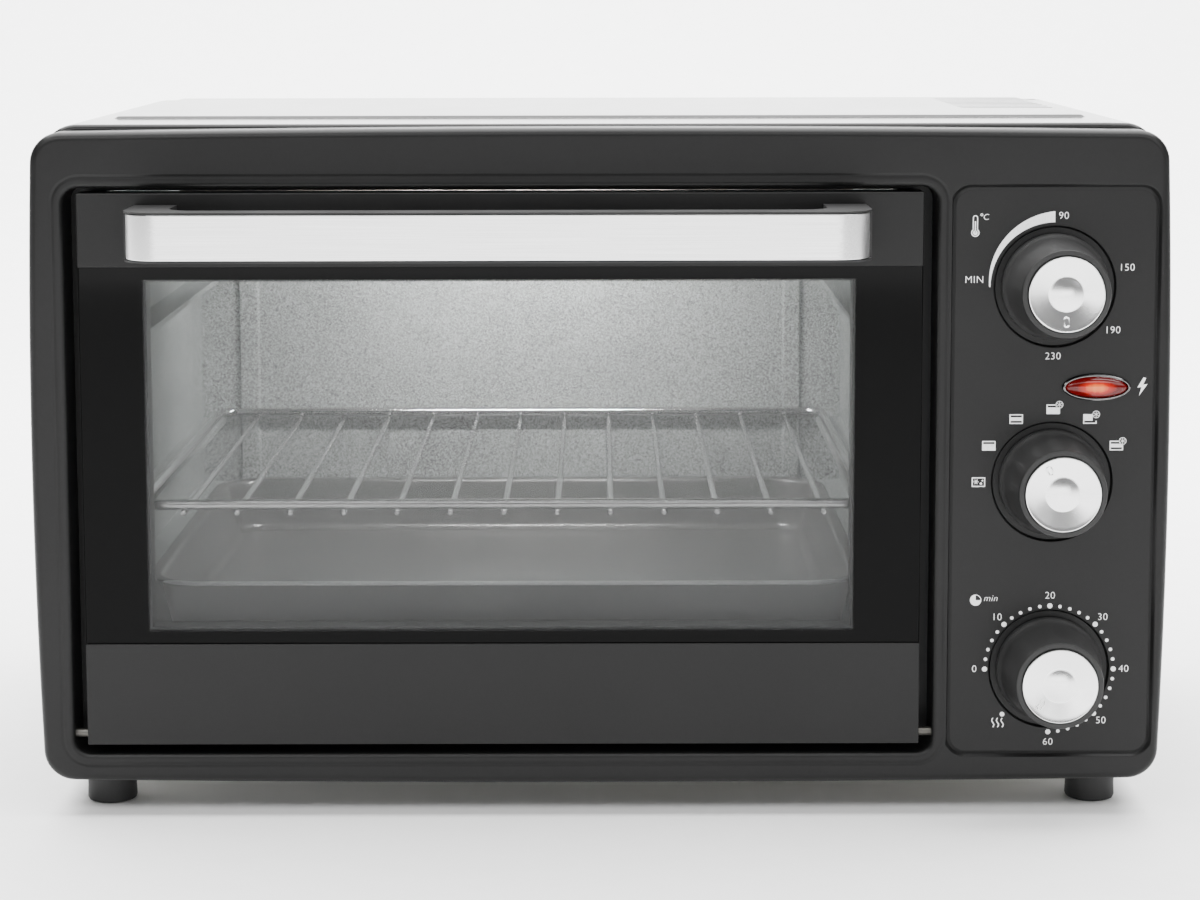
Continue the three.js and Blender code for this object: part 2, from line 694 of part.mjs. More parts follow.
// Round grille in front of the fan.
function fanGrille(x) {
  return GRILLE_RINGS.flatMap(([radius, count]) => Array.from({ length: count }, (_, i) => {
    const turn = (2 * Math.PI * i) / count;
    const y = fanPlace.y + radius * Math.cos(turn);
    const z = fanPlace.z + radius * Math.sin(turn);
    return rod([x - runnerReach - SHEET, y, z], [x + 2 * SHEET, y, z], GRILLE_HOLE_RADIUS);
  }));
}

function cavitySheets() {
  const acrossX = [cavity.left + FIT_GAP, cavity.right - FIT_GAP];
  const alongY = [cavity.front, cavity.back - FIT_GAP];
  const { left, right, bottom, top, back } = cavity;
  add("cavity_floor", block(acrossX, alongY, [bottom - SHEET, bottom]), ALUMINISED);
  add("cavity_top", block(acrossX, alongY, [top, top + SHEET]), ALUMINISED);
  const backWall = block(
    [left - SHEET, right + SHEET], [back, back + SHEET], [bottom - SHEET, top + SHEET],
  );
  add("cavity_back", backWall, ALUMINISED);
  add("cavity_left", cavitySide(left, 1, elementHoles(left)), ALUMINISED);
  add("cavity_right", cavitySide(right, -1, [...elementHoles(right), ...fanGrille(right)]), ALUMINISED);
}

// Sheet between the hot cavity and the controls, with a hole for the fan's shaft.
function heatShield() {
  const motorHole = FAN_SHAFT_RADIUS + 2 * SLIP_GAP;
  return cut(
    block(
      [shieldLeft, shieldLeft + SHEET],
      [cavity.front, BODY_LENGTH - 2 * SHEET],
      [baseBottom + 2 * SHEET, coverTop - 3 * SHEET],
    ),
    rod(
      [shieldLeft - SHEET, fanPlace.y, fanPlace.z],
      [shieldLeft + 2 * SHEET, fanPlace.y, fanPlace.z], motorHole,
    ),
  );
}

add("front_frame", frontFrame(), SATIN_BLACK);
cavitySheets();
add("heat_shield", heatShield(), ZINC_STEEL);

// ---- Heating elements and their ceramic holders ----

// Straight tubular element with a thinner terminal pin at each end.
function heatingElement(y, z) {
  const from = cavity.left - ELEMENT_TAIL;
  const to = cavity.right + ELEMENT_TAIL;
  return join(
    rod([from + ELEMENT_PIN, y, z], [to - ELEMENT_PIN, y, z], ELEMENT_RADIUS),
    rod([from, y, z], [to, y, z], ELEMENT_RADIUS / 2),
  );
}

// Ceramic bar outside a side wall that carries one end of both elements in a row.
function elementHolder(x0, z) {
  const bore = ELEMENT_RADIUS + FIT_GAP;
  return cut(
    block(
      [x0, x0 + HOLDER_WIDTH],
      [elementPlaces.front - HOLDER_HEIGHT, elementPlaces.rear + HOLDER_HEIGHT],
      [z - HOLDER_HEIGHT / 2, z + HOLDER_HEIGHT / 2],
    ),
    ...Object.values(elementPlaces).map((y) =>
      rod([x0 - SHEET, y, z], [x0 + HOLDER_WIDTH + SHEET, y, z], bore)),
  );
}

for (const [row, z] of Object.entries(elementRows)) {
  for (const [place, y] of Object.entries(elementPlaces))
    add(`heating_element_${row}_${place}`, heatingElement(y, z), ELEMENT_METAL);
  const leftHolder = cavity.left - SHEET - FIT_GAP - HOLDER_WIDTH;
  add(`element_holder_${row}_left`, elementHolder(leftHolder, z), CERAMIC);
  add(`element_holder_${row}_right`, elementHolder(cavity.right + SHEET + FIT_GAP, z), CERAMIC);
}

// ---- Convection fan: motor, shaft and wheel ----

function fanWheel() {
  const left = cavity.right + SHEET + 2 * SLIP_GAP + HOLDER_WIDTH / 4;
  const { y, z } = fanPlace;
  const hub = rod([left, y, z], [left + FAN_WIDTH, y, z], FAN_HUB_RADIUS, ROUND_SIDES / 2);
  const blade = block(
    [left, left + FAN_WIDTH], [-FAN_BLADE / 2, FAN_BLADE / 2], [FAN_HUB_RADIUS / 2, FAN_RADIUS],
  );
  const blades = Array.from({ length: FAN_BLADES }, (_, i) =>
    blade.rotate([(360 * i) / FAN_BLADES, 0, 0]).translate([0, y, z]));
  const right = left + FAN_WIDTH;
  const bore = rod([left - SHEET, y, z], [right + SHEET, y, z], FAN_SHAFT_RADIUS + FIT_GAP);
  return cut(join(hub, ...blades), bore);
}

function fanMotor() {
  const left = shieldLeft + SHEET + FIT_GAP;
  const earReach = 1.5 * MOTOR_RADIUS;
  const { y, z } = fanPlace;
  return cut(
    join(
      rod([left, y, z], [left + MOTOR_LENGTH, y, z], MOTOR_RADIUS, ROUND_SIDES / 2),
      block(
        [left, left + 2 * SHEET], [y - earReach, y + earReach],
        [z - MOTOR_RADIUS / 2, z + MOTOR_RADIUS / 2],
      ),
    ),
    rod([left - SHEET, y, z], [left + MOTOR_LENGTH / 2, y, z], FAN_SHAFT_RADIUS + FIT_GAP),
  );
}

function fanShaft() {
  const { y, z } = fanPlace;
  const right = shieldLeft + MOTOR_LENGTH / 2;
  return rod([right - FAN_SHAFT_LENGTH, y, z], [right, y, z], FAN_SHAFT_RADIUS);
}

add("fan_wheel", fanWheel(), ZINC_STEEL);
add("fan_shaft", fanShaft(), ZINC_STEEL);
add("fan_motor", fanMotor(), ZINC_STEEL);

// ---- Controls: knobs, caps, shafts, switch bodies and the indicator ----

// Moulded knob: a flange that sinks into its well and a waisted cone, bored for its shaft.
function knob(z) {
  const face = -KNOB_REACH;
  const seat = face + CAP_DEPTH - FIT_GAP;
  const bore = SHAFT_RADIUS + FIT_GAP;
  const boreEnd = knobBack - SHAFT_IN_KNOB - SLIP_GAP;
  return turnedY(
    [
      [0, boreEnd], [bore, boreEnd], [bore, knobBack], [KNOB_BASE_RADIUS, knobBack],
      [KNOB_BASE_RADIUS, knobBack - KNOB_FLANGE],
      [KNOB_BASE_RADIUS - KNOB_FLANGE / 2, knobBack - 2 * KNOB_FLANGE],
      [KNOB_FACE_RADIUS + 0.8, face + 2], [KNOB_FACE_RADIUS, face + 0.4],
      [CAP_RADIUS + FIT_GAP, face + 0.4], [CAP_RADIUS + FIT_GAP, seat + FIT_GAP], [0, seat + FIT_GAP],
    ].reverse(),
    knobX, z,
  );
}

// Spun metal cap with a dimple in the middle, let into the knob's face.
function knobCap(z) {
  const face = -KNOB_REACH;
  const back = face + CAP_DEPTH - FIT_GAP;
  return turnedY(
    [
      [0, face + CAP_DIMPLE], [CAP_DIMPLE_RADIUS - 1.5, face + CAP_DIMPLE], [CAP_DIMPLE_RADIUS, face],
      [CAP_RADIUS - 0.5, face], [CAP_RADIUS, face + 0.5], [CAP_RADIUS, back], [0, back],
    ],
    knobX, z,
  );
}

function knobShaft(z) {
  const from = [knobX, knobBack - SHAFT_IN_KNOB, z];
  const to = [knobX, switchFront + SHAFT_IN_SWITCH, z];
  return rod(from, to, SHAFT_RADIUS, ROUND_SIDES / 2);
}

// Bores a switch body for its knob's shaft.
function boredSwitch(body, z) {
  const mouth = [knobX, switchFront - SHEET, z];
  const end = [knobX, switchFront + SHAFT_IN_SWITCH + FIT_GAP, z];
  return cut(body, rod(mouth, end, SHAFT_RADIUS + FIT_GAP, ROUND_SIDES / 2));
}

function squareBody(size, depth, z) {
  const half = size / 2;
  return block(
    [knobX - half, knobX + half], [switchFront, switchFront + depth], [z - half, z + half],
  );
}

function roundBody(radius, depth, z) {
  const end = [knobX, switchFront + depth, z];
  return rod([knobX, switchFront, z], end, radius, ROUND_SIDES / 2);
}

for (const [use, z] of Object.entries(knobHeights)) {
  add(`${use}_knob`, knob(z), BLACK_PLASTIC);
  add(`${use}_knob_cap`, knobCap(z), BRUSHED_STEEL);
  add(`${use}_shaft`, knobShaft(z), ZINC_STEEL);
}
const { thermostat: thermostatAxis, selector: selectorAxis, timer: timerAxis } = knobHeights;
const thermostatBlock = squareBody(THERMOSTAT_SIZE, THERMOSTAT_DEPTH, thermostatAxis);
const selectorDrum = roundBody(SELECTOR_RADIUS, SELECTOR_DEPTH, selectorAxis);
const timerBox = squareBody(TIMER_SIZE, TIMER_DEPTH, timerAxis);
add("thermostat_body", boredSwitch(thermostatBlock, thermostatAxis), CERAMIC);
add("selector_switch", boredSwitch(selectorDrum, selectorAxis), BLACK_PLASTIC);
add("timer_body", boredSwitch(timerBox, timerAxis), ZINC_STEEL);

// Bell that the timer strikes when it runs out.
function timerBell() {
  const front = switchFront + TIMER_DEPTH + FIT_GAP;
  const rim = front + BELL_DEPTH;
  return turnedY(
    [
      [0, front], [BELL_RADIUS / 2, front], [BELL_RADIUS, front + BELL_DEPTH / 2], [BELL_RADIUS, rim],
      [BELL_RADIUS - SHEET, rim], [BELL_RADIUS - SHEET, front + BELL_DEPTH / 2],
      [BELL_RADIUS / 2 - SHEET / 2, front + SHEET], [0, front + SHEET],
    ],
    knobX, knobHeights.timer, ROUND_SIDES / 2,
  );
}

// Oval lens in a bright rim, with a neon lamp behind it.
function indicatorRim() {
  const back = controlFace - FIT_GAP;
  return cut(
    solid(extrudeY(lensShape(RIM_WIDTH + FIT_GAP), back - RIM_THICKNESS, back)),
    solid(extrudeY(lensShape(FIT_GAP), -BEZEL_DEPTH, BEZEL_DEPTH)),
  );
}

function neonLamp() {
  const y = panelBack + SLIP_GAP + LAMP_RADIUS;
  return rod(
    [lensX - LAMP_LENGTH / 2, y, lensZ], [lensX + LAMP_LENGTH / 2, y, lensZ], LAMP_RADIUS,
  );
}

add("timer_bell", timerBell(), ZINC_STEEL);
add("indicator_rim", indicatorRim(), CHROME_WIRE);
add("indicator_lens", solid(extrudeY(lensShape(0), -LENS_PROUD, panelBack)), RED_LENS);
add("neon_lamp", neonLamp(), AMBER);

// Mains side: terminal block on the base, and the gland that the cord would leave by.
function terminalBlock() {
  const [width, length, height] = TERMINAL;
  const y = BODY_LENGTH - 2 * length;
  const z = baseBottom + SHEET + FIT_GAP;
  return block([glandX - width / 2, glandX + width / 2], [y, y + length], [z, z + height]);
}

function cordGland() {
  const sheetBack = BODY_LENGTH + 2 * FIT_GAP + SHEET;
  const inner = BODY_LENGTH - GLAND_FLANGE;
  return turnedY(
    [
      [GLAND_BORE, inner], [GLAND_BORE, sheetBack + GLAND_FLANGE],
      [GLAND_RADIUS - 2, sheetBack + GLAND_FLANGE],
      [GLAND_RADIUS, sheetBack + 1], [GLAND_RADIUS, sheetBack], [GLAND_NECK, sheetBack],
      [GLAND_NECK, inner], [GLAND_BORE, inner],
    ].reverse(),
    glandX, glandZ, ROUND_SIDES / 2,
  );
}

add("terminal_block", terminalBlock(), CERAMIC);
add("cord_gland", cordGland(), BLACK_PLASTIC);

// ---- Door: rails, two panes, inner liner, handle and hinges ----

// A folded rail: a face over the glass's edge, and a shallow box behind it clear of the glass.
function doorRail(low, high, glassEdge, pinned) {
  const width = [door.left, door.right];
  const inside = [door.left + SHEET, door.right - SHEET];
  const backOfFace = DOOR_RECESS + SHEET;
  const boxLow = pinned ? low : glassEdge + SLIP_GAP;
  const boxHigh = pinned ? glassEdge - SLIP_GAP : high;
  const hollowLow = pinned ? boxLow + SHEET : boxLow - SHEET;
  const hollowHigh = pinned ? boxHigh + SHEET : boxHigh - SHEET;
  const rail = cut(
    join(
      block(width, [DOOR_RECESS, backOfFace], [low, high]),
      block(width, [DOOR_RECESS, railBack], [boxLow, boxHigh]),
    ),
    block(inside, [backOfFace, 2 * railBack], [hollowLow, hollowHigh]),
  );
  const pinHole = rod(
    [2 * door.left, HINGE_DEPTH, hingeZ], [2 * door.right, HINGE_DEPTH, hingeZ],
    PIN_RADIUS + FIT_GAP,
  );
  const screwHoles = handlePostCentres().map((x) =>
    rod([x, 0, handleMidZ], [x, 2 * backOfFace, handleMidZ], SCREW_RADIUS + FIT_GAP));
  return pinned ? cut(rail, pinHole) : cut(rail, ...screwHoles);
}

// Pressed steel liner that frames the window between the two panes.
function doorLiner() {
  const front = railBack + FIT_GAP;
  const glassBack = DOOR_RECESS + SHEET + FIT_GAP + GLASS;
  const turnIn = (low, high) => [low - SHEET, high + SHEET];
  const spanX = [windowPane.left + SHEET, windowPane.right - SHEET];
  const spanZ = [windowPane.bottom + SHEET, windowPane.top - SHEET];
  return cut(
    join(
      block(
        [door.left + LINER_EDGE, door.right - LINER_EDGE], [front, front + SHEET],
        [door.bottom + LINER_EDGE, door.top - LINER_EDGE],
      ),
      block(turnIn(...spanX), [glassBack + FIT_GAP, front + SHEET / 2], turnIn(...spanZ)),
    ),
    block(spanX, [0, 2 * front], spanZ),
  );
}

function outerGlass() {
  const front = DOOR_RECESS + SHEET + FIT_GAP;
  return block(
    [door.left, door.right], [front, front + GLASS],
    [door.bottom + LOWER_RAIL - GLASS_LAP, door.top - UPPER_RAIL + GLASS_LAP],
  );
}

function innerGlass() {
  return block(
    [windowPane.left - INNER_GLASS_LAP, windowPane.right + INNER_GLASS_LAP],
    [innerGlassFront, innerGlassFront + GLASS],
    [windowPane.bottom - INNER_GLASS_LAP, windowPane.top + INNER_GLASS_LAP],
  );
}

const handleBottom = door.top - HANDLE_DROP - HANDLE_HEIGHT;
const handleMidZ = handleBottom + HANDLE_HEIGHT / 2;
const handleHalf = (door.right - door.left) / 2 - HANDLE_INSET;

function handlePostCentres() {
  const offset = handleHalf + HANDLE_RIM - POST_WIDTH / 2;
  return [doorMid - offset, doorMid + offset];
}

// The handle's plan: an outline with rounded front corners, open towards the door.
function handlePlan(half, front, back, corner) {
  const shape = new THREE.Shape();
  const quarter = Math.PI / 2;
  shape.moveTo(doorMid + half, back);
  shape.lineTo(doorMid - half, back);
  shape.absarc(doorMid - half + corner, front + corner, corner, Math.PI, Math.PI + quarter);
  shape.absarc(doorMid + half - corner, front + corner, corner, -quarter, 0);
  return shape;
}

// Steel strip wrapped round the core's front and its two corners.
function handleBar() {
  const back = -HANDLE_REACH + HANDLE_BEND;
  const band = (half, front, corner, end) => solid(extrudeZ(
    handlePlan(half, front, end, corner), handleBottom, handleBottom + HANDLE_HEIGHT,
  ));
  return cut(
    band(handleHalf, -HANDLE_REACH, HANDLE_BEND, back),
    band(handleHalf - HANDLE_STRIP, -HANDLE_REACH + HANDLE_STRIP, HANDLE_BEND - HANDLE_STRIP, 0)
      .scale([1, 1, 2]).translate([0, 0, -handleMidZ]),
  );
}

// Groove round the core's front and corners, in which the steel strip lies.
function stripGroove() {
  const inset = HANDLE_STRIP + FIT_GAP;
  const front = -HANDLE_REACH + inset;
  const low = handleBottom - FIT_GAP;
  const high = handleBottom + HANDLE_HEIGHT + FIT_GAP;
  const backOfStrip = -HANDLE_REACH + HANDLE_BEND;
  const around = 2 * handleHalf;
  const plan = handlePlan(handleHalf - inset, front, 0, HANDLE_BEND - inset);
  return cut(
    block(
      [doorMid - around, doorMid + around], [-2 * HANDLE_REACH, backOfStrip + FIT_GAP],
      [low, high],
    ),
    solid(extrudeZ(plan, low - SHEET, high + SHEET)),
  );
}

// Moulded core: a bar behind the strip and a post at each end that bolts to the door.
function handleCore() {
  const half = handleHalf + HANDLE_RIM;
  const back = DOOR_RECESS - FIT_GAP;
  const plan = handlePlan(half, -HANDLE_REACH + FIT_GAP, back, HANDLE_BEND + HANDLE_RIM);
  const low = handleBottom - HANDLE_RIM;
  const high = handleBottom + HANDLE_HEIGHT + HANDLE_RIM;
  const gripBack = -HANDLE_REACH + HANDLE_THICKNESS;
  const inner = half - POST_WIDTH;
  const gap = roundedRectangle(
    [doorMid - inner, doorMid + inner],
    [gripBack, gripBack + HANDLE_REACH + 2 * HANDLE_FILLET], HANDLE_FILLET,
  );
  return cut(
    solid(extrudeZ(plan, low, high)),
    solid(extrudeZ(gap, low - SHEET, high + SHEET)),
    stripGroove(),
    ...handlePostCentres().map((x) => rod(
      [x, back - SCREW_LENGTH, handleMidZ], [x, back + SHEET, handleMidZ], SCREW_RADIUS + FIT_GAP,
    )),
  );
}

// Pan-head screw from inside the upper rail into a handle post.
function handleScrew(x) {
  const under = DOOR_RECESS + SHEET + FIT_GAP;
  const spot = (y) => [x, y, handleMidZ];
  return join(
    rod(spot(under), spot(under + SCREW_HEAD), SCREW_HEAD_RADIUS, ROUND_SIDES / 2),
    rod(spot(under - SCREW_LENGTH + FIT_GAP), spot(under + SHEET), SCREW_RADIUS),
  );
}

// Angle bracket outside the aperture's wall that carries a hinge pin; sign points outwards.
function hingeBracket(wall, sign) {
  const near = wall + sign * (LIP_ROUND + 2 * SLIP_GAP);
  const far = near + sign * BRACKET;
  const flangeEnd = far + sign * 3 * BRACKET;
  const span = (a, b) => [Math.min(a, b), Math.max(a, b)];
  const zRange = [hingeZ - BRACKET_HEIGHT / 4, hingeZ + (3 * BRACKET_HEIGHT) / 4];
  const back = frameFront - FIT_GAP;
  return cut(
    join(
      block(span(near, far), [controlFace + BEZEL_WALL + FIT_GAP, back], zRange),
      block(span(near, flangeEnd), [back - BRACKET, back], zRange),
    ),
    rod(
      [near - sign * BRACKET, HINGE_DEPTH, hingeZ], [far + sign * BRACKET, HINGE_DEPTH, hingeZ],
      PIN_RADIUS + FIT_GAP,
    ),
  );
}

// Headed pin from the bracket, through the bezel's wall, into the lower rail's end.
function hingePin(wall, edge, sign) {
  const headInner = wall + sign * (LIP_ROUND + 2 * SLIP_GAP + BRACKET + FIT_GAP);
  const tip = edge - sign * PIN_REACH;
  const spot = (x) => [x, HINGE_DEPTH, hingeZ];
  return join(
    rod(spot(headInner), spot(headInner + sign * PIN_HEAD), PIN_HEAD_RADIUS, ROUND_SIDES / 2),
    rod(spot(tip), spot(headInner + sign * SHEET), PIN_RADIUS),
  );
}

const lowerGlassEdge = door.bottom + LOWER_RAIL - GLASS_LAP;
const upperGlassEdge = door.top - UPPER_RAIL + GLASS_LAP;
const lowerRail = doorRail(door.bottom, door.bottom + LOWER_RAIL, lowerGlassEdge, true);
const upperRail = doorRail(door.top - UPPER_RAIL, door.top, upperGlassEdge, false);
add("door_lower_rail", lowerRail, SATIN_BLACK);
add("door_upper_rail", upperRail, SATIN_BLACK);
add("door_outer_glass", outerGlass(), TINTED_GLASS);
add("door_inner_glass", innerGlass(), CLEAR_GLASS);
add("door_inner_liner", doorLiner(), ALUMINISED);
add("handle_bar", handleBar(), BRUSHED_STEEL);
add("handle_core", handleCore(), BLACK_PLASTIC);
handlePostCentres().forEach((x, i) => {
  add(`handle_screw_${i ? "right" : "left"}`, handleScrew(x), ZINC_STEEL);
});
for (const [side, wall, edge, sign] of [
  ["left", aperture.left, door.left, -1],
  ["right", aperture.right, door.right, 1],
]) {
  add(`hinge_bracket_${side}`, hingeBracket(wall, sign), ZINC_STEEL);
  add(`hinge_pin_${side}`, hingePin(wall, edge, sign), ZINC_STEEL);
}

// ---- Loose furniture: wire rack and baking tray ----

// A bent frame of thick wire with thinner cross wires welded under its ends.
function wireRack() {
  const { width, z } = rackPlace;
  const half = (width - RACK_WIRE) / 2;
  const front = rackPlace.front + RACK_WIRE / 2;
  const back = rackPlace.back - RACK_WIRE / 2;
  const lap = SHEET; // the two halves of the frame run into each other
  const halfFrame = (sign) => bentWire(
    [
      [doorMid - sign * lap, front, z], [doorMid + sign * half, front, z],
      [doorMid + sign * half, back, z], [doorMid - sign * lap, back, z],
    ],
    RACK_WIRE / 2, RACK_CORNER,
  );
  const crossZ = z - (RACK_WIRE + CROSS_WIRE) / 2 + FIT_GAP;
  const pitch = (width - 2 * CROSS_INSET) / (CROSS_COUNT - 1);
  const cross = Array.from({ length: CROSS_COUNT }, (_, i) => {
    const x = doorMid + (i - (CROSS_COUNT - 1) / 2) * pitch;
    const spot = (y) => [x, y, crossZ];
    return rod(spot(rackPlace.front), spot(rackPlace.back), CROSS_WIRE / 2, THIN_WIRE_SIDES);
  });
  return join(halfFrame(-1), halfFrame(1), ...cross);
}

// Pressed tray with round corners, sloping walls and a flat rim that hangs on the runners.
function bakingTray() {
  const { width, front, back, rim } = trayPlace;
  const centre = new THREE.Vector3(doorMid, (front + back) / 2, 0);
  const bottom = rim - TRAY_DEPTH;
  const outline = (inset) => roundedRectangle(
    [centre.x - width / 2 + inset, centre.x + width / 2 - inset],
    [front + inset, back - inset],
    TRAY_CORNER - inset,
  );
  const drafted = (inset, low, high) => {
    const pinch = (size) => 1 - (2 * TRAY_DRAFT) / (size - 2 * inset);
    const scale = new THREE.Vector3(pinch(width), pinch(back - front), 1);
    const end = new THREE.Vector3(centre.x, centre.y, low);
    return solid(spread(extrudeZ(outline(inset), low, high), "z", low, end, scale));
  };
  return cut(
    join(
      solid(extrudeZ(outline(0), rim - TRAY_WALL, rim)),
      drafted(TRAY_RIM, bottom, rim - TRAY_WALL / 2),
    ),
    drafted(TRAY_RIM + TRAY_WALL, bottom + TRAY_WALL, rim + SHEET),
  );
}

add("wire_rack", wireRack(), CHROME_WIRE);
add("baking_tray", bakingTray(), TRAY_ENAMEL);

// The origin is on the ground, in the middle of the footprint from the handle to the rear bulge.
oven.position.y = (HANDLE_REACH - rearEnd) / 2;
export default oven;
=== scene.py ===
import math

import bmesh
import bpy
from mathutils import Matrix, Vector


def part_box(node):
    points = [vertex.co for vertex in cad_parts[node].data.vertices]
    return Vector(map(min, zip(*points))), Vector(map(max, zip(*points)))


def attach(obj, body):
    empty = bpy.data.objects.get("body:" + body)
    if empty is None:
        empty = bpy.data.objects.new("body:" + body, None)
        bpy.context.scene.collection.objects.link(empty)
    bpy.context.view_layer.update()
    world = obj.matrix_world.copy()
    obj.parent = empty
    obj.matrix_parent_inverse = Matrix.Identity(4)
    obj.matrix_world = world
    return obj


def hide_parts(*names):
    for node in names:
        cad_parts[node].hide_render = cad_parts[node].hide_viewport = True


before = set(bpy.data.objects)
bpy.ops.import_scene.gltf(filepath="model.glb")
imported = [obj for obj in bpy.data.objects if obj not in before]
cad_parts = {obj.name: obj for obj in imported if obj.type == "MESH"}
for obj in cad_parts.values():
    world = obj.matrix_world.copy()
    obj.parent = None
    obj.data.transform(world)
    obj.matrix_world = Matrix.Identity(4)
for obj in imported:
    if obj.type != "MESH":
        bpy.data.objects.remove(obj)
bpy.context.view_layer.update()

# ---- Front bezel ----
# One pressed steel shell, painted satin black with a fine grain. The press rounds its front edge,
# turns a deep lip into the door's opening, and sinks the control field and the three knob wells.

MM = 0.001
WELD = 0.0005 * MM


class Form:
    """A shape being made: rings of points, skinned together or filled, then turned into a piece."""

    def __init__(self):
        self.mesh = bmesh.new()

    def ring(self, points):
        return [self.mesh.verts.new(point) for point in points]

    def skin(self, *rings, closed=True):
        """Faces between each ring and the next; a ring of one point becomes a tip."""
        for a, b in zip(rings, rings[1:]):
            longest = max(len(a), len(b))
            for i in range(longest if closed else longest - 1):
                j = (i + 1) % longest
                corners = [a[i % len(a)], a[j % len(a)], b[j % len(b)], b[i % len(b)]]
                self.mesh.faces.new(dict.fromkeys(corners))

    def fill(self, *rings):
        """A flat face inside the first ring, with the other rings as its holes."""
        edges = []
        for ring in rings:
            for pair in zip(ring, ring[1:] + ring[:1]):
                edges.append(self.mesh.edges.get(pair) or self.mesh.edges.new(pair))
        bmesh.ops.triangle_fill(self.mesh, use_beauty=True, use_dissolve=False, edges=edges)

    def turn(self, profile, spot, sides=64):
        """Skins a profile of (radius, height) pairs turned about an axis; spot gives a point's place."""
        rings = []
        for radius, height in profile:
            count = sides if radius else 1
            turns = [2 * math.pi * i / sides for i in range(count)]
            rings.append(self.ring(spot(radius * math.cos(a), radius * math.sin(a), height) for a in turns))
        self.skin(*rings)

    def sweep(self, path, section, closed=False, up=Vector((0, 0, 1))):
        """Carries a section of (outward, upward) pairs along a path of points, with flat ends."""
        rings = []
        for i, point in enumerate(path):
            before = path[i - 1] if i or closed else point
            after = path[(i + 1) % len(path)] if closed or i + 1 < len(path) else point
            along = (after - before).normalized()
            out = along.cross(up).normalized()
            rings.append(self.ring(point + out * a + out.cross(along) * b for a, b in section))
        if closed:
            self.skin(*rings, rings[0])
        else:
            self.skin(*rings)
            self.fill(rings[0])
            self.fill(rings[-1])

    def piece(self, name, body, finish, slot=None, replaces=(), outward=None, sharp=35):
        """Ends the shape and dresses it. An open sheet names the way that most of it faces."""
        bmesh.ops.remove_doubles(self.mesh, verts=self.mesh.verts, dist=WELD)
        bmesh.ops.recalc_face_normals(self.mesh, faces=self.mesh.faces)
        if outward is not None:
            facing = sum(face.normal.dot(outward) * face.calc_area() for face in self.mesh.faces)
            if facing < 0:
                bmesh.ops.reverse_faces(self.mesh, faces=self.mesh.faces)
        data = bpy.data.meshes.new(name)
        self.mesh.to_mesh(data)
        self.mesh.free()
        made = bpy.data.objects.new(name, data)
        bpy.context.scene.collection.objects.link(made)
        made.data.materials.append(finish.material)
        smooth(made, sharp)
        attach(made, body)
        if replaces:
            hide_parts(*replaces)
        return made


def smooth(made, sharp=35):
    """Shades a piece round, with creases where its faces meet at more than an angle in degrees."""
    made.data.polygons.foreach_set("use_smooth", [True] * len(made.data.polygons))
    made.data.set_sharp_from_angle(angle=math.radians(sharp))
    weighted = made.modifiers.new("weighted", "WEIGHTED_NORMAL")
    weighted.keep_sharp = True


class Signal:
    """A value on its way through a finish. Arithmetic on it adds Math nodes."""

    def __init__(self, finish, socket):
        self.finish = finish
        self.socket = socket

    def maths(self, operation, *values):
        return self.finish.add("ShaderNodeMath", {"operation": operation}, dict(enumerate(values)))

    def __add__(self, other):
        return self.maths("ADD", self, other)

    def __radd__(self, other):
        return self.maths("ADD", other, self)

    def __sub__(self, other):
        return self.maths("SUBTRACT", self, other)

    def __rsub__(self, other):
        return self.maths("SUBTRACT", other, self)

    def __mul__(self, other):
        return self.maths("MULTIPLY", self, other)

    def __rmul__(self, other):
        return self.maths("MULTIPLY", other, self)

    def rise(self, low, high):
        """0 below low, 1 above high, and a smooth step between them."""
        settings = {"interpolation_type": "SMOOTHSTEP"}
        return self.finish.add("ShaderNodeMapRange", settings, {0: self, 1: low, 2: high})


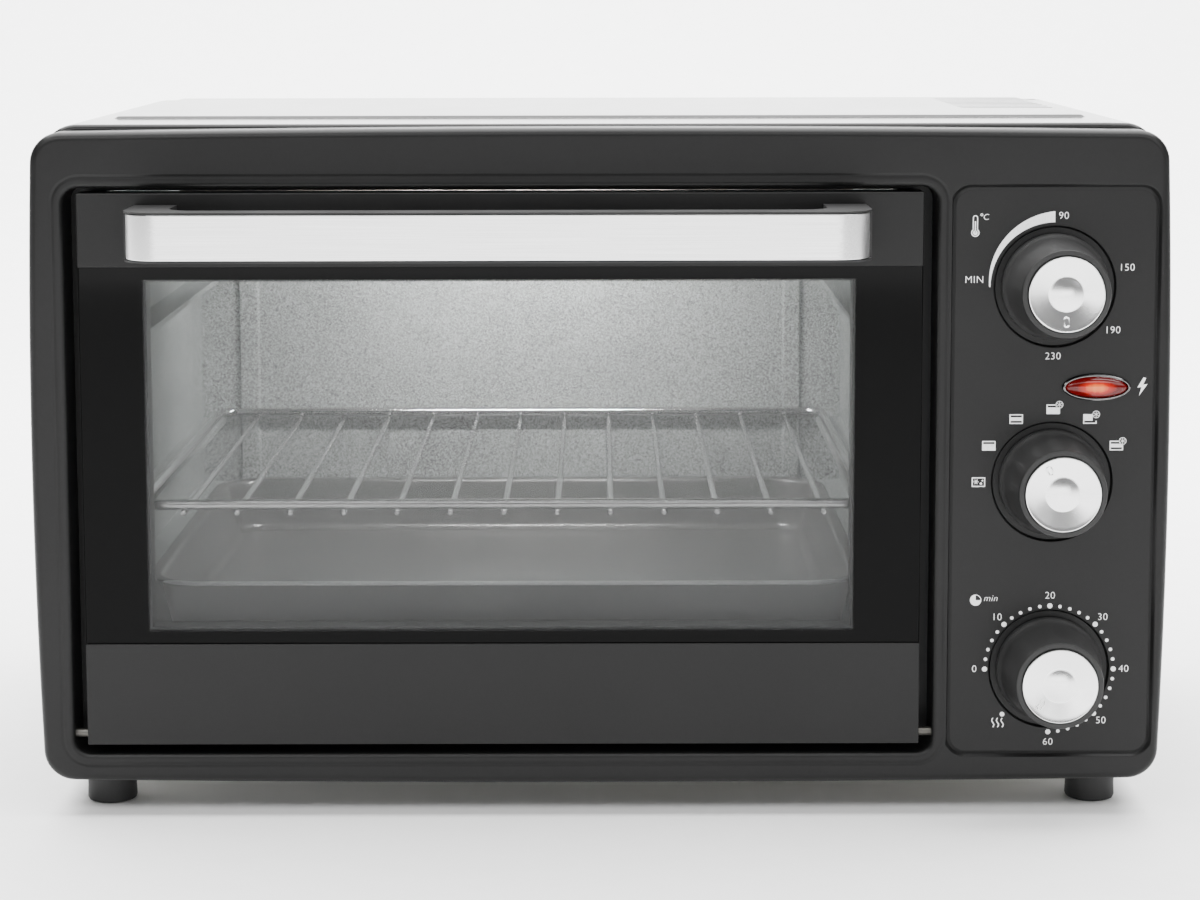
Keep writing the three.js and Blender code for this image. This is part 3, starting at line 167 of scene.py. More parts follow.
class Finish:
    """A material being mixed. Constants go on the shader itself; what varies comes as signals."""

    def __init__(self, name, constants=None):
        self.material = bpy.data.materials.new(name)
        self.material.use_nodes = True
        self.tree = self.material.node_tree
        self.tree.nodes.clear()
        end = self.tree.nodes.new("ShaderNodeOutputMaterial")
        self.shader = self.tree.nodes.new("ShaderNodeBsdfPrincipled")
        self.tree.links.new(self.shader.outputs[0], end.inputs[0])
        self.place = self.add("ShaderNodeTexCoord", output="Object")
        self.surface(constants or {})

    def add(self, kind, settings=None, inputs=None, output=0):
        node = self.tree.nodes.new(kind)
        for key, value in (settings or {}).items():
            if key == "stops":
                self.set_stops(node.color_ramp.elements, value)
            else:
                setattr(node, key, value)
        for key, value in (inputs or {}).items():
            self.feed(node.inputs[key], value)
        return Signal(self, node.outputs[output])

    def set_stops(self, elements, stops):
        while len(elements) < len(stops):
            elements.new(1)
        for element, (position, colour) in zip(elements, stops):
            element.position = position
            element.color = (*colour, 1)

    def feed(self, socket, value):
        if isinstance(value, Signal):
            self.tree.links.new(value.socket, socket)
        elif socket.type == "RGBA":
            socket.default_value = (*value, 1)
        else:
            socket.default_value = value

    def surface(self, inputs):
        for key, value in inputs.items():
            self.feed(self.shader.inputs[key], value)

    def stretched(self, x, y, z):
        return self.add("ShaderNodeMapping", {}, {"Vector": self.place, "Scale": (x, y, z)})

    def clouds(self, scale, detail=2, over=None):
        """Soft noise from 0 to 1, with about scale blots to the metre."""
        inputs = {"Vector": over or self.place, "Scale": scale, "Detail": detail}
        return self.add("ShaderNodeTexNoise", {}, inputs)

    def cells(self, scale, output="Color"):
        return self.add("ShaderNodeTexVoronoi", {}, {"Vector": self.place, "Scale": scale}, output)

    def axis(self, name):
        return self.add("ShaderNodeSeparateXYZ", {}, {0: self.place}, output=name)

    def ramp(self, factor, *stops):
        return self.add("ShaderNodeValToRGB", {"stops": stops}, {0: factor})

    def blend(self, factor, first, second):
        inputs = {0: factor, 6: first, 7: second}
        return self.add("ShaderNodeMix", {"data_type": "RGBA"}, inputs, output=2)

    def relief(self, height, depth, strength=1.0):
        """Bumps of a depth in metres where height goes from 0 to 1."""
        inputs = {"Strength": strength, "Distance": depth, "Height": height}
        self.surface({"Normal": self.add("ShaderNodeBump", {}, inputs)})


def grey(value):
    return (value, value, value)


def satin_black(name, shade=0.006):
    """Textured stove paint: tiny pimples, faint mottling, and a duller patch here and there."""
    paint = Finish(name, {"Specular IOR Level": 0.18})
    pimples = paint.clouds(1700, 3)
    mottle = paint.clouds(22, 4)
    fine = paint.clouds(900, 2)
    tone = paint.ramp(mottle * 0.6 + fine * 0.4, (0.3, grey(shade * 0.8)), (0.7, grey(shade * 1.25)))
    paint.surface({"Base Color": tone, "Roughness": 0.3 + mottle * 0.08 + pimples * 0.08})
    paint.relief(pimples, 0.05 * MM, 0.6)
    return paint


bezel_low, bezel_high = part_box("front_bezel")
body_width = bezel_high.x - bezel_low.x
body_height = bezel_high.z - bezel_low.z
body_mid = (bezel_high.z + bezel_low.z) / 2
face = bezel_low.y
door_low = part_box("door_lower_rail")[0]
door_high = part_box("door_upper_rail")[1]

BEZEL_WALL = 2 * MM
BEZEL_DEPTH = 16 * MM
BEZEL_CORNER = 12 * MM
BEZEL_EDGE = 3.4 * MM
SIDE_CROWN = 2.7 * MM
END_CROWN = 1.6 * MM
LIP_ROUND = 2 * MM
LIP_DEPTH = bezel_high.y - face
LIP_CORNER = 6.5 * MM
GAP_SIDE, GAP_LOW, GAP_TOP = 5.5 * MM, 4.1 * MM, 2.2 * MM
FIELD_LOW, FIELD_HEIGHT, FIELD_WIDTH = 26.1 * MM, 232.1 * MM, 82.5 * MM
FIELD_CORNER = 7.4 * MM
FIELD_RECESS = 0.8 * MM
WELL_RADIUS = 24.3 * MM
WELL_DEPTH = 1.6 * MM
WELL_EDGE = 0.5 * MM
SHAFT_HOLE = 3.5 * MM
LENS_GAP = 0.5 * MM
BOWED_STEPS = 14

knob_names = ("thermostat", "selector", "timer")
knob_centres = {}
for knob_name in knob_names:
    low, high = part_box(f"{knob_name}_knob")
    knob_centres[knob_name] = (low + high) / 2
field_x = knob_centres["timer"].x
lens_low, lens_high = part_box("indicator_lens")
lens_centre = (lens_low + lens_high) / 2


def arc(start, end, steps):
    """Angles from start to end in degrees, as radians."""
    return [math.radians(start + (end - start) * i / steps) for i in range(steps + 1)]


def rounded(x0, x1, z0, z1, radius, depth, steps=10):
    """A rounded rectangle facing the front, at a depth behind the bezel's face."""
    corners = ((x1 - radius, z1 - radius, 0), (x0 + radius, z1 - radius, 90),
               (x0 + radius, z0 + radius, 180), (x1 - radius, z0 + radius, 270))
    return [
        Vector((x + radius * math.cos(a), face + depth, z + radius * math.sin(a)))
        for x, z, turn in corners for a in arc(turn, turn + 90, steps)
    ]


def oval(x, z, half_width, half_height, depth, steps=64):
    return [
        Vector((x + half_width * math.cos(a), face + depth, z + half_height * math.sin(a)))
        for a in arc(0, 360 - 360 / steps, steps - 1)
    ]


def bezel_outline(inset, depth):
    """The bezel's outline drawn in by an inset. Its sides and ends bow outwards."""
    half_width, half_height = body_width / 2 - inset, body_height / 2 - inset
    flat = rounded(-half_width, half_width, -half_height, half_height, BEZEL_CORNER - inset, depth)
    points = []
    for here, there in zip(flat, flat[1:] + flat[:1]):
        steps = BOWED_STEPS if (there - here).length > BEZEL_CORNER else 1
        points += [here.lerp(there, i / steps) for i in range(steps)]
    for point in points:
        across, up = point.x / half_width, point.z / half_height
        point.x *= 1 - SIDE_CROWN / half_width * up ** 2
        point.z = body_mid + point.z * (1 - END_CROWN / half_height * across ** 2)
    return points


def lip(growth, depth):
    return rounded(
        door_low.x - GAP_SIDE - growth, door_high.x + GAP_SIDE + growth,
        door_low.z - GAP_LOW - growth, door_high.z + GAP_TOP + growth, LIP_CORNER + growth, depth,
    )


def field(growth, depth):
    half = FIELD_WIDTH / 2 + growth
    low, high = FIELD_LOW - growth, FIELD_LOW + FIELD_HEIGHT + growth
    return rounded(field_x - half, field_x + half, low, high, FIELD_CORNER + growth, depth)


def lens_oval(growth, depth):
    half_width = (lens_high.x - lens_low.x) / 2 + growth
    half_height = (lens_high.z - lens_low.z) / 2 + growth
    return oval(lens_centre.x, lens_centre.z, half_width, half_height, depth)


bezel = Form()
edge_steps = arc(0, 90, 7)
outer_front = [
    bezel.ring(bezel_outline(BEZEL_EDGE * (1 - math.cos(a)), BEZEL_EDGE * (1 - math.sin(a))))
    for a in edge_steps
]
outer_back = bezel.ring(bezel_outline(0, BEZEL_DEPTH))
inner_back = bezel.ring(bezel_outline(BEZEL_WALL, BEZEL_DEPTH))
inner_front = bezel.ring(bezel_outline(BEZEL_WALL, BEZEL_WALL))
bezel.skin(inner_front, inner_back, outer_back, *outer_front)
lip_rings = [
    bezel.ring(lip(LIP_ROUND * (1 - math.sin(a)), LIP_ROUND * (1 - math.cos(a)))) for a in edge_steps
]
lip_end = bezel.ring(lip(0, LIP_DEPTH))
lip_outside = bezel.ring(lip(BEZEL_WALL, LIP_DEPTH))
lip_root = bezel.ring(lip(BEZEL_WALL, BEZEL_WALL))
# Growth and depth in millimetres: a shallow bead round the door's opening, and a groove with the
# control field's step at its inner side.
bead_steps = ((5.6, 0), (5.1, 0.05), (4.6, 0.28), (4.1, 0.28), (3.6, 0.05), (3.1, 0))
bead_rings = [bezel.ring(lip(growth * MM, depth * MM)) for growth, depth in bead_steps]
bezel.skin(*bead_rings, *lip_rings, lip_end, lip_outside, lip_root)
field_steps = (
    (1.3, 0), (1.0, 0.06), (0.6, 0.45), (0.3, 1.0), (-0.1, 1.3), (-0.6, 1.2), (-1.2, 0.85), (-1.5, 0.8),
)
field_rings = [bezel.ring(field(growth * MM, depth * MM)) for growth, depth in field_steps]
bezel.skin(*field_rings)
field_floor_back = FIELD_RECESS + BEZEL_WALL
field_root = bezel.ring(field(BEZEL_WALL, BEZEL_WALL))
field_back = bezel.ring(field(BEZEL_WALL, field_floor_back))
bezel.skin(field_root, field_back)
lens_front = bezel.ring(lens_oval(LENS_GAP, FIELD_RECESS))
lens_back = bezel.ring(lens_oval(LENS_GAP, field_floor_back))
bezel.skin(lens_front, lens_back)
well_fronts, well_backs = [], []
well_floor = FIELD_RECESS + WELL_DEPTH
well_steps = (
    (WELL_RADIUS + 0.7 * MM, FIELD_RECESS), (WELL_RADIUS + 0.25 * MM, FIELD_RECESS + 0.12 * MM),
    (WELL_RADIUS, FIELD_RECESS + WELL_EDGE), (WELL_RADIUS, well_floor - WELL_EDGE),
    (WELL_RADIUS - WELL_EDGE, well_floor), (SHAFT_HOLE, well_floor),
    (SHAFT_HOLE, well_floor + BEZEL_WALL), (WELL_RADIUS + BEZEL_WALL, well_floor + BEZEL_WALL),
    (WELL_RADIUS + BEZEL_WALL, field_floor_back),
)
for centre in knob_centres.values():
    rings = [bezel.ring(oval(centre.x, centre.z, radius, radius, depth)) for radius, depth in well_steps]
    bezel.skin(*rings)
    well_fronts.append(rings[0])
    well_backs.append(rings[-1])
bezel.fill(outer_front[-1], bead_rings[0], field_rings[0])
bezel.fill(inner_front, lip_root, field_root)
bezel.fill(field_rings[-1], lens_front, *well_fronts)
bezel.fill(field_back, lens_back, *well_backs)
bezel_paint = satin_black("bezel_paint")
bezel.piece("bezel_shell", "housing", bezel_paint, "bezel_paint", ["front_bezel"])

# ---- Outer cover ----
# One steel sheet bent over both sides and the top, stove-enamelled gloss black. Its front edge is
# rolled, a wide flat panel is pressed up out of the top, and slots over the controls let heat out.

COVER_SHEET = 1 * MM
COVER_CORNER = 14 * MM
CORNER_STEPS = 10
HEM = 2.6 * MM
PANEL_RISE = 1 * MM
PANEL_STEP = 2.5 * MM
PANEL_FRONT = 66 * MM
SLOT_COUNT, SLOT_FRONT, SLOT_PITCH, SLOT = 8, 132 * MM, 14 * MM, 4 * MM
SLOT_WIDTH = 41 * MM
SLOT_MARGIN = 3.5 * MM
NET_PLACES = (-100 * MM, 0, 80 * MM)

cover_low, cover_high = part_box("outer_cover")
cover_top = cover_high.z - PANEL_RISE
panel_side = 205.5 * MM
slot_right = panel_side - SLOT_MARGIN
slot_left = slot_right - SLOT_WIDTH


def ease(value):
    """A smooth step from 0 to 1 as the value goes from 0 to 1."""
    value = min(max(value, 0), 1)
    return value * value * (3 - 2 * value)


def spaced(start, end, count):
    """Values from start to end in equal steps."""
    return [start + (end - start) * i / count for i in range(count + 1)]


def panel_height(x, depth):
    """How far the pressed panel stands up at a place on the top."""
    across = ease((panel_side - abs(x)) / PANEL_STEP)
    along = ease((depth - PANEL_FRONT) / PANEL_STEP)
    return PANEL_RISE * across * along


def hem_drop(depth):
    """The rolled front edge turns down over its own radius."""
    near = min(max(depth - (cover_low.y - face), 0), HEM)
    return HEM - math.sqrt(HEM ** 2 - (HEM - near) ** 2)


# The sheet's section seen from the front: places, with the way that the sheet faces there.
side = cover_high.x
section = [(Vector((-side, 0, z)), Vector((-1, 0, 0))) for z in (cover_low.z, body_mid)]
for a in arc(180, 90, CORNER_STEPS):
    out = Vector((math.cos(a), 0, math.sin(a)))
    section.append((Vector((COVER_CORNER - side, 0, cover_top - COVER_CORNER)) + out * COVER_CORNER, out))
panel_steps = spaced(0, PANEL_STEP, 4)
panel_edge = [panel_side - step for step in panel_steps]
top_places = {-x for x in panel_edge} | {*NET_PLACES, slot_left, slot_right} | {*panel_edge}
section += [(Vector((x, 0, cover_top)), Vector((0, 0, 1))) for x in sorted(top_places)]
section += [
    (Vector((-place.x, 0, place.z)), Vector((-out.x, 0, out.z)))
    for place, out in section[CORNER_STEPS + 1::-1]
]
cover_front, cover_back = cover_low.y - face, cover_high.y - face
stations = [cover_front + HEM * (1 - math.cos(a)) for a in arc(0, 90, 5)]
stations += [PANEL_FRONT + step for step in panel_steps]
slots = [(SLOT_FRONT + i * SLOT_PITCH, SLOT_FRONT + i * SLOT_PITCH + SLOT) for i in range(SLOT_COUNT)]
stations += [edge for slot in slots for edge in slot] + [cover_back]
cover = Form()
rows = []
for depth in stations:
    row = []
    for place, out in section:
        up = panel_height(place.x, depth) if out.z == 1 else 0
        row.append(place + Vector((0, face + depth, up)) - out * hem_drop(depth))
    rows.append(cover.ring(row))
for near, far, front_row, back_row in zip(stations, stations[1:], rows, rows[1:]):
    cut = any(abs(near - start) < 0.1 * MM for start, _ in slots)
    for i in range(len(section) - 1):
        middle = (section[i][0].x + section[i + 1][0].x) / 2
        if cut and section[i][1].z == 1 and slot_left < middle < slot_right:
            continue
        cover.mesh.faces.new((front_row[i], front_row[i + 1], back_row[i + 1], back_row[i]))
gloss = Finish("cover_enamel", {"Specular IOR Level": 0.12})
peel = gloss.clouds(420, 2)
dust = gloss.clouds(35, 5)
gloss.surface({
    "Base Color": gloss.ramp(dust, (0.35, grey(0.008)), (0.75, grey(0.014))),
    "Roughness": 0.1 + dust * 0.05,
})
gloss.relief(peel, 0.012 * MM, 0.6)
cover_piece = cover.piece(
    "cover_sheet", "housing", gloss, "cover_paint", ["outer_cover"], outward=Vector((0, 0, 1)), sharp=50,
)


def thicken(made, thickness):
    """Gives an open sheet its gauge, inwards from the face that was drawn."""
    sheet = made.modifiers.new("gauge", "SOLIDIFY")
    sheet.thickness = thickness
    sheet.offset = -1
    sheet.use_even_offset = True
    made.modifiers.move(len(made.modifiers) - 1, 0)


thicken(cover_piece, COVER_SHEET)

# ---- Base plate ----
# Floor of the casing, a sheet of zinc-plated steel folded up at its edges and fixed inside the
# cover's lower edges. It is slotted under the control side for air.

HAIR = 0.002 * MM


def soften(node, finish, width=0.3 * MM, segments=2, sharp=35):
    """Dresses a frame part and breaks its sharp edges, as tumbling or folding leaves them."""
    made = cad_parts[node]
    made.data.materials.clear()
    made.data.materials.append(finish.material)
    if "custom_normal" in made.data.attributes:
        made.data.attributes.remove(made.data.attributes["custom_normal"])
    weld = made.modifiers.new("weld", "WELD")
    weld.merge_threshold = HAIR
    if width:
        bevel = made.modifiers.new("edges", "BEVEL")
        bevel.width = width
        bevel.segments = segments
        bevel.limit_method = "ANGLE"
        bevel.angle_limit = math.radians(sharp)
    smooth(made, sharp)
    return made


def zinc_plate(name, tint=(0.55, 0.56, 0.57)):
    """Bright zinc: rolled streaks, a slow drift between blue and straw, and dull fingermarks."""
    zinc = Finish(name, {"Metallic": 1.0})
    streaks = zinc.clouds(3, 4, zinc.stretched(400, 8, 400))
    drift = zinc.clouds(9, 3)
    straw = tuple(value * warm for value, warm in zip(tint, (1.08, 1.02, 0.88)))
    zinc.surface({
        "Base Color": zinc.blend(drift, tint, straw),
        "Roughness": 0.26 + drift * 0.16 + streaks * 0.1,
    })
    zinc.relief(streaks, 0.01 * MM, 0.4)
    return zinc


zinc = zinc_plate("zinc_sheet")
soften("base_plate", zinc, 0.2 * MM)

# ---- Rear panel ----
# Steel sheet that closes the back, painted like the bezel. A deep tray pressed into it makes room
# for the cavity; slots behind the controls let air in, and the cord's gland has its own hole.

rear_low, rear_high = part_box("rear_panel")
cavity_back_low, cavity_back_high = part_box("cavity_back")
shield_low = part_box("heat_shield")[0]
gland_low, gland_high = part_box("cord_gland")
gland_centre = (gland_low + gland_high) / 2
REAR_SHEET = 1 * MM
REAR_MARGIN = 10 * MM
BULGE_CORNER = 15 * MM
BULGE_ROUND = 7 * MM
STIFFENER_MARGIN = 12 * MM
STIFFENER_CORNER = 22 * MM
GLAND_HOLE = 6.8 * MM
VENT_COUNT, VENT_PITCH, VENT, VENT_WIDTH = 7, 11 * MM, 3.5 * MM, 44 * MM
sheet_outside = rear_low.y - face + REAR_SHEET


def bulge(inset, depth):
    return rounded(
        cavity_back_low.x - REAR_MARGIN + inset, shield_low.x - REAR_SHEET - inset,
        cavity_back_low.z - REAR_MARGIN + inset, cavity_back_high.z + REAR_MARGIN - inset,
        BULGE_CORNER - inset, depth,
    )


def rear_outline(depth):
    """The cover's section from behind: round upper corners and a straight lower edge."""
    points = [Vector((x, face + depth, rear_low.z)) for x in (-side, side)]
    for start, sign in ((0, 1), (90, -1)):
        centre = Vector((sign * (side - COVER_CORNER), face + depth, cover_top - COVER_CORNER))
        outwards = [Vector((math.cos(a), 0, math.sin(a))) for a in arc(start, start + 90, 8)]
        points += [centre + out * COVER_CORNER for out in outwards]
    return points


rear = Form()
rear_edge = rear.ring(rear_outline(sheet_outside))
rear_depth = rear_high.y - face
root_steps = ((-1.5, 0), (-0.4, 0.5), (0, 2))
bulge_rings = [rear.ring(bulge(inset * MM, sheet_outside + rise * MM)) for inset, rise in root_steps]
bulge_rings += [
    rear.ring(bulge(BULGE_ROUND * (1 - math.cos(a)), rear_depth - BULGE_ROUND * (1 - math.sin(a))))
    for a in arc(0, 90, 6)
]
rear.skin(*bulge_rings)
# A shallow step pressed round the bulge's flat stiffens it.
stiffener_steps = ((9 * MM, 0), (12 * MM, 0), (13.5 * MM, 1.2 * MM), (15 * MM, 1.2 * MM))
stiffener_rings = [
    rear.ring(rounded(
        cavity_back_low.x - REAR_MARGIN + inset + STIFFENER_MARGIN, shield_low.x - inset - STIFFENER_MARGIN,
        cavity_back_low.z + inset, cavity_back_high.z - inset, STIFFENER_CORNER - inset, rear_depth - sunk,
    ))
    for inset, sunk in stiffener_steps
]
rear.skin(*stiffener_rings)
rear.fill(bulge_rings[-1], stiffener_rings[0])
rear.fill(stiffener_rings[-1])
rear_holes = [
    rear.ring(rounded(
        field_x - VENT_WIDTH / 2, field_x + VENT_WIDTH / 2, body_mid + i * VENT_PITCH,
        body_mid + i * VENT_PITCH + VENT, VENT / 2.2, sheet_outside, 4,
    ))
    for i in range(VENT_COUNT)
]
rear_holes.append(rear.ring(oval(gland_centre.x, gland_centre.z, GLAND_HOLE, GLAND_HOLE, sheet_outside, 32)))
rear.fill(rear_edge, bulge_rings[0], *rear_holes)
rear_piece = rear.piece(
    "rear_sheet", "housing", bezel_paint, "bezel_paint", ["rear_panel"], outward=Vector((0, 1, 0)),
)
thicken(rear_piece, REAR_SHEET)

# ---- Feet ----
# Four feet of black rubber, each moulded as one disc with a dished tread and a narrow neck that is
# pushed through a hole in the base plate.

rubber = Finish("foot_rubber")
bloom = rubber.clouds(160, 4)
rubber.surface({
    "Base Color": rubber.ramp(bloom, (0.3, grey(0.012)), (0.8, grey(0.026))),
    "Roughness": 0.6 + bloom * 0.25,
})
rubber.relief(rubber.clouds(1800, 2), 0.03 * MM, 0.5)
FOOT_NECK = 6.5 * MM
FOOT_DISC = 13 * MM
TREAD_DISH = 0.8 * MM
for end in ("front", "rear"):
    for hand in ("left", "right"):
        low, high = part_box(f"foot_{end}_{hand}")
        middle = (low + high) / 2
        radius = (high.x - low.x) / 2

        def on_foot(x, y, height):
            return Vector((middle.x + x, middle.y + y, height))

        foot = Form()
        foot.turn(
            [
                (0, TREAD_DISH), (radius * 0.55, TREAD_DISH), (radius * 0.62, 0), (radius - 1.4 * MM, 0),
                (radius - 0.4 * MM, 0.4 * MM), (radius, 1.4 * MM), (radius - 0.2 * MM, 6 * MM),
                (radius, FOOT_DISC - 1.4 * MM), (radius - 0.4 * MM, FOOT_DISC - 0.4 * MM),
                (radius - 1.4 * MM, FOOT_DISC), (FOOT_NECK + 0.6 * MM, FOOT_DISC),
                (FOOT_NECK, FOOT_DISC + 0.6 * MM), (FOOT_NECK, high.z), (0, high.z),
            ],
            on_foot, 40,
        )
        foot.piece(f"rubber_foot_{end}_{hand}", "housing", rubber, "rubber_foot", [f"foot_{end}_{hand}"])

# ---- Cavity ----
# Five sheets of aluminised steel with a fine spangle, folded and riveted into the oven's box behind
# a flat front frame. The side walls have the shelves' runners pressed in, the back has two ribs.


def aluminised_sheet(name, shade=0.34):
    """Hot-dip coating: small crystals that each catch the light a little differently."""
    coated = Finish(name, {"Metallic": 0.35, "Specular IOR Level": 0.7})
    crystals = coated.clouds(1000, 3)
    flecks = coated.cells(1500)
    fleck = coated.add("ShaderNodeRGBToBW", {}, {0: flecks})
    drift = coated.clouds(14, 3)
    tone = crystals * 0.6 + fleck * 0.25 + drift * 0.15
    cool = (shade * 0.97, shade * 1.02, shade)
    coated.surface({
        "Base Color": coated.ramp(
            tone, (0.36, tuple(c * 0.5 for c in cool)), (0.6, tuple(c * 1.5 for c in cool)),
        ),
        "Roughness": 0.34 + tone * 0.25,
    })
    coated.relief(tone, 0.04 * MM, 0.5)
    return coated


aluminised = aluminised_sheet("aluminised_sheet")
# Painted shade: the front frame takes the black bezel paint so that the gap round the door reads black.
soften("front_frame", bezel_paint, 0.2 * MM)
for node in ("cavity_floor", "cavity_top"):
    soften(node, aluminised, 0.3 * MM)


def pressed(form, across, up, spot):
    """A sheet drawn as a net of points, one row for each height."""
    rows = [form.ring(spot(u, v) for u in across) for v in up]
    form.skin(*rows, closed=False)


WALL_GAUGE = 0.8 * MM
WALL_INSET = 0.2 * MM
RIB_RISE = 2.6 * MM
RIB_FLANK = 1.4 * MM
LEFT_RIB, LEFT_RIB_WIDTH = 21 * MM, 8 * MM
RIGHT_RIB, RIGHT_RIB_WIDTH = 29 * MM, 7 * MM
ribs = [(cavity_back_low.x + LEFT_RIB, LEFT_RIB_WIDTH), (cavity_back_high.x - RIGHT_RIB, RIGHT_RIB_WIDTH)]


def back_relief(x):
    """How far the two upright ribs stand out of the back wall."""
    rise = 0
    for start, width in ribs:
        inside = min(x - start, start + width - x)
        rise = max(rise, RIB_RISE * ease(inside / RIB_FLANK + 1))
    return rise


back_across = [cavity_back_low.x, cavity_back_high.x, 0]
for start, width in ribs:
    back_across += spaced(start - RIB_FLANK, start, 4) + spaced(start + width, start + width + RIB_FLANK, 4)
wall_back = Form()
pressed(
    wall_back, sorted(back_across), spaced(cavity_back_low.z, cavity_back_high.z, 6),
    lambda x, z: Vector((x, cavity_back_low.y + WALL_INSET - back_relief(x), z)),
)
back_wall = wall_back.piece(
    "cavity_back_sheet", "housing", aluminised, "aluminised_steel", ["cavity_back"],
    outward=Vector((0, -1, 0)), sharp=50,
)
thicken(back_wall, WALL_GAUGE)

rack_low, rack_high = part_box("wire_rack")
tray_low, tray_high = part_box("baking_tray")
RACK_WIRE = 2.2 * MM
RUNNER_REACH = 12.5 * MM
RUNNER_DROP, RUNNER_FACE = 8 * MM, 2.5 * MM
RUNNER_END = 9 * MM
UPPER_RUNNER = 196 * MM
TRAY_RIM_GAUGE = 1.5 * MM
RACK_GAP = 0.3 * MM
PRESS_FLANK = 4 * MM
STEP_SINK = 1.5 * MM
STEP_LOW, STEP_HIGH = 140 * MM, 184 * MM
STEP_FRONT, STEP_BACK = 75 * MM, 40 * MM
NET_MARGIN = 6 * MM
runner_tops = [tray_high.z - TRAY_RIM_GAUGE, rack_high.z - 2 * RACK_WIRE - RACK_GAP, UPPER_RUNNER]


def runner_profile(z):
    """How far the pressed runners stand out at a height: a flat top, a short face, a slope below."""
    for top in runner_tops:
        if top - RUNNER_DROP < z <= top:
            slope = (z - top + RUNNER_DROP) / (RUNNER_DROP - RUNNER_FACE)
            return RUNNER_REACH * (1 if top - z < RUNNER_FACE else slope)
    return 0


def plateau(value, start, end):
    """1 from start to end, with an eased flank outside each."""
    return ease((value - start) / PRESS_FLANK + 1) * ease((end - value) / PRESS_FLANK + 1)


for hand, inward in (("left", 1), ("right", -1)):
    low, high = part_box(f"cavity_{hand}")
    wall_x = low.x + COVER_SHEET if inward == 1 else high.x - COVER_SHEET
    # The net is finer over the pressed step and along the runners' edges.
    heights = spaced(low.z, high.z, 12) + spaced(STEP_LOW, STEP_HIGH + NET_MARGIN, 10)
    for top in runner_tops:
        heights += [top + 0.02 * MM, top, top - RUNNER_FACE, top - RUNNER_DROP]
    near, far = low.y + RUNNER_END, high.y - RUNNER_END
    depths = [low.y, high.y] + spaced(near - PRESS_FLANK, near, 4) + spaced(far, far + PRESS_FLANK, 4)
    depths += spaced(near, far, 40)

    def side_spot(y, z):
        runner = runner_profile(z) * plateau(y, near, far)
        step = plateau(y, low.y + STEP_FRONT + PRESS_FLANK, high.y - STEP_BACK - PRESS_FLANK)
        step *= plateau(z, STEP_LOW + PRESS_FLANK, STEP_HIGH - PRESS_FLANK)
        return Vector((wall_x + inward * (runner + STEP_SINK * step), y, z))

    wall_side = Form()
    pressed(wall_side, sorted(set(depths)), sorted(set(heights)), side_spot)
    sheet = wall_side.piece(
        f"cavity_{hand}_sheet", "housing", aluminised, "aluminised_steel", [f"cavity_{hand}"],
        outward=Vector((inward, 0, 0)), sharp=40,
    )
    thicken(sheet, WALL_GAUGE)
soften("heat_shield", zinc, 0.2 * MM)

# ---- Heating elements ----
# Four tubular elements, steel sheathed and blued by heat, that cross the cavity above and below.
# Each end runs through a wall into a ceramic bar and ends in a thinner terminal pin.

sheath = Finish("element_sheath", {"Metallic": 0.9})
scale_marks = sheath.clouds(60, 5)
heat = sheath.clouds(4, 2, sheath.stretched(8, 1, 1))
sheath.surface({
    "Base Color": sheath.ramp(
        scale_marks * 0.5 + heat * 0.5, (0.3, (0.09, 0.085, 0.085)), (0.55, (0.17, 0.15, 0.13)),
        (0.8, (0.2, 0.2, 0.22)),
    ),
    "Roughness": 0.4 + scale_marks * 0.3,
})
sheath.relief(sheath.clouds(1500, 2), 0.02 * MM, 0.6)


def circle_section(radius, sides=16):
    return [(radius * math.cos(a), radius * math.sin(a)) for a in arc(0, 360 - 360 / sides, sides - 1)]


PIN_LENGTH = 4 * MM
END_ROUND = 0.6 * MM
# From the end inwards: shares of the sheath's radius, and distances from the pin's tip.
element_end = (
    (0, 0), (0.45, 0), (0.5, END_ROUND / 2), (0.5, PIN_LENGTH), (0.9, PIN_LENGTH),
    (1, PIN_LENGTH + END_ROUND),
)
for row in ("upper", "lower"):
    for end in ("front", "rear"):
        name = f"heating_element_{row}_{end}"
        low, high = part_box(name)
        middle = (low + high) / 2
        radius = (high.z - low.z) / 2

        def on_element(across, up, along):
            return Vector((along, middle.y + across, middle.z + up))

        outline = [(radius * share, low.x + along) for share, along in element_end]
        outline += [(radius * share, high.x - along) for share, along in element_end[::-1]]
        tube = Form()
        tube.turn(outline, on_element, 32)
        tube.piece(f"element_tube_{row}_{end}", "housing", sheath, "element_metal", [name])

ceramic = Finish("ceramic_body")
chalk = ceramic.clouds(300, 4)
ceramic.surface({
    "Base Color": ceramic.ramp(chalk, (0.3, (0.7, 0.66, 0.58)), (0.75, (0.82, 0.79, 0.72))),
    "Roughness": 0.55 + chalk * 0.25,
})
ceramic.relief(chalk, 0.05 * MM, 0.5)
for row in ("upper", "lower"):
    for hand in ("left", "right"):
        soften(f"element_holder_{row}_{hand}", ceramic, 0.8 * MM, 3)

# ---- Convection fan ----
# A sheet-metal wheel outside the cavity's right wall, on the shaft of a small shaded-pole motor
# that is bolted to the heat shield.

for node in ("fan_wheel", "fan_shaft", "fan_motor"):
    soften(node, zinc, 0.25 * MM)

# ---- Controls behind the panel ----
# Thermostat, selector switch and mechanical timer, each held to the bezel by its own bush, the
# bell that the timer strikes, and the terminal block for the mains.

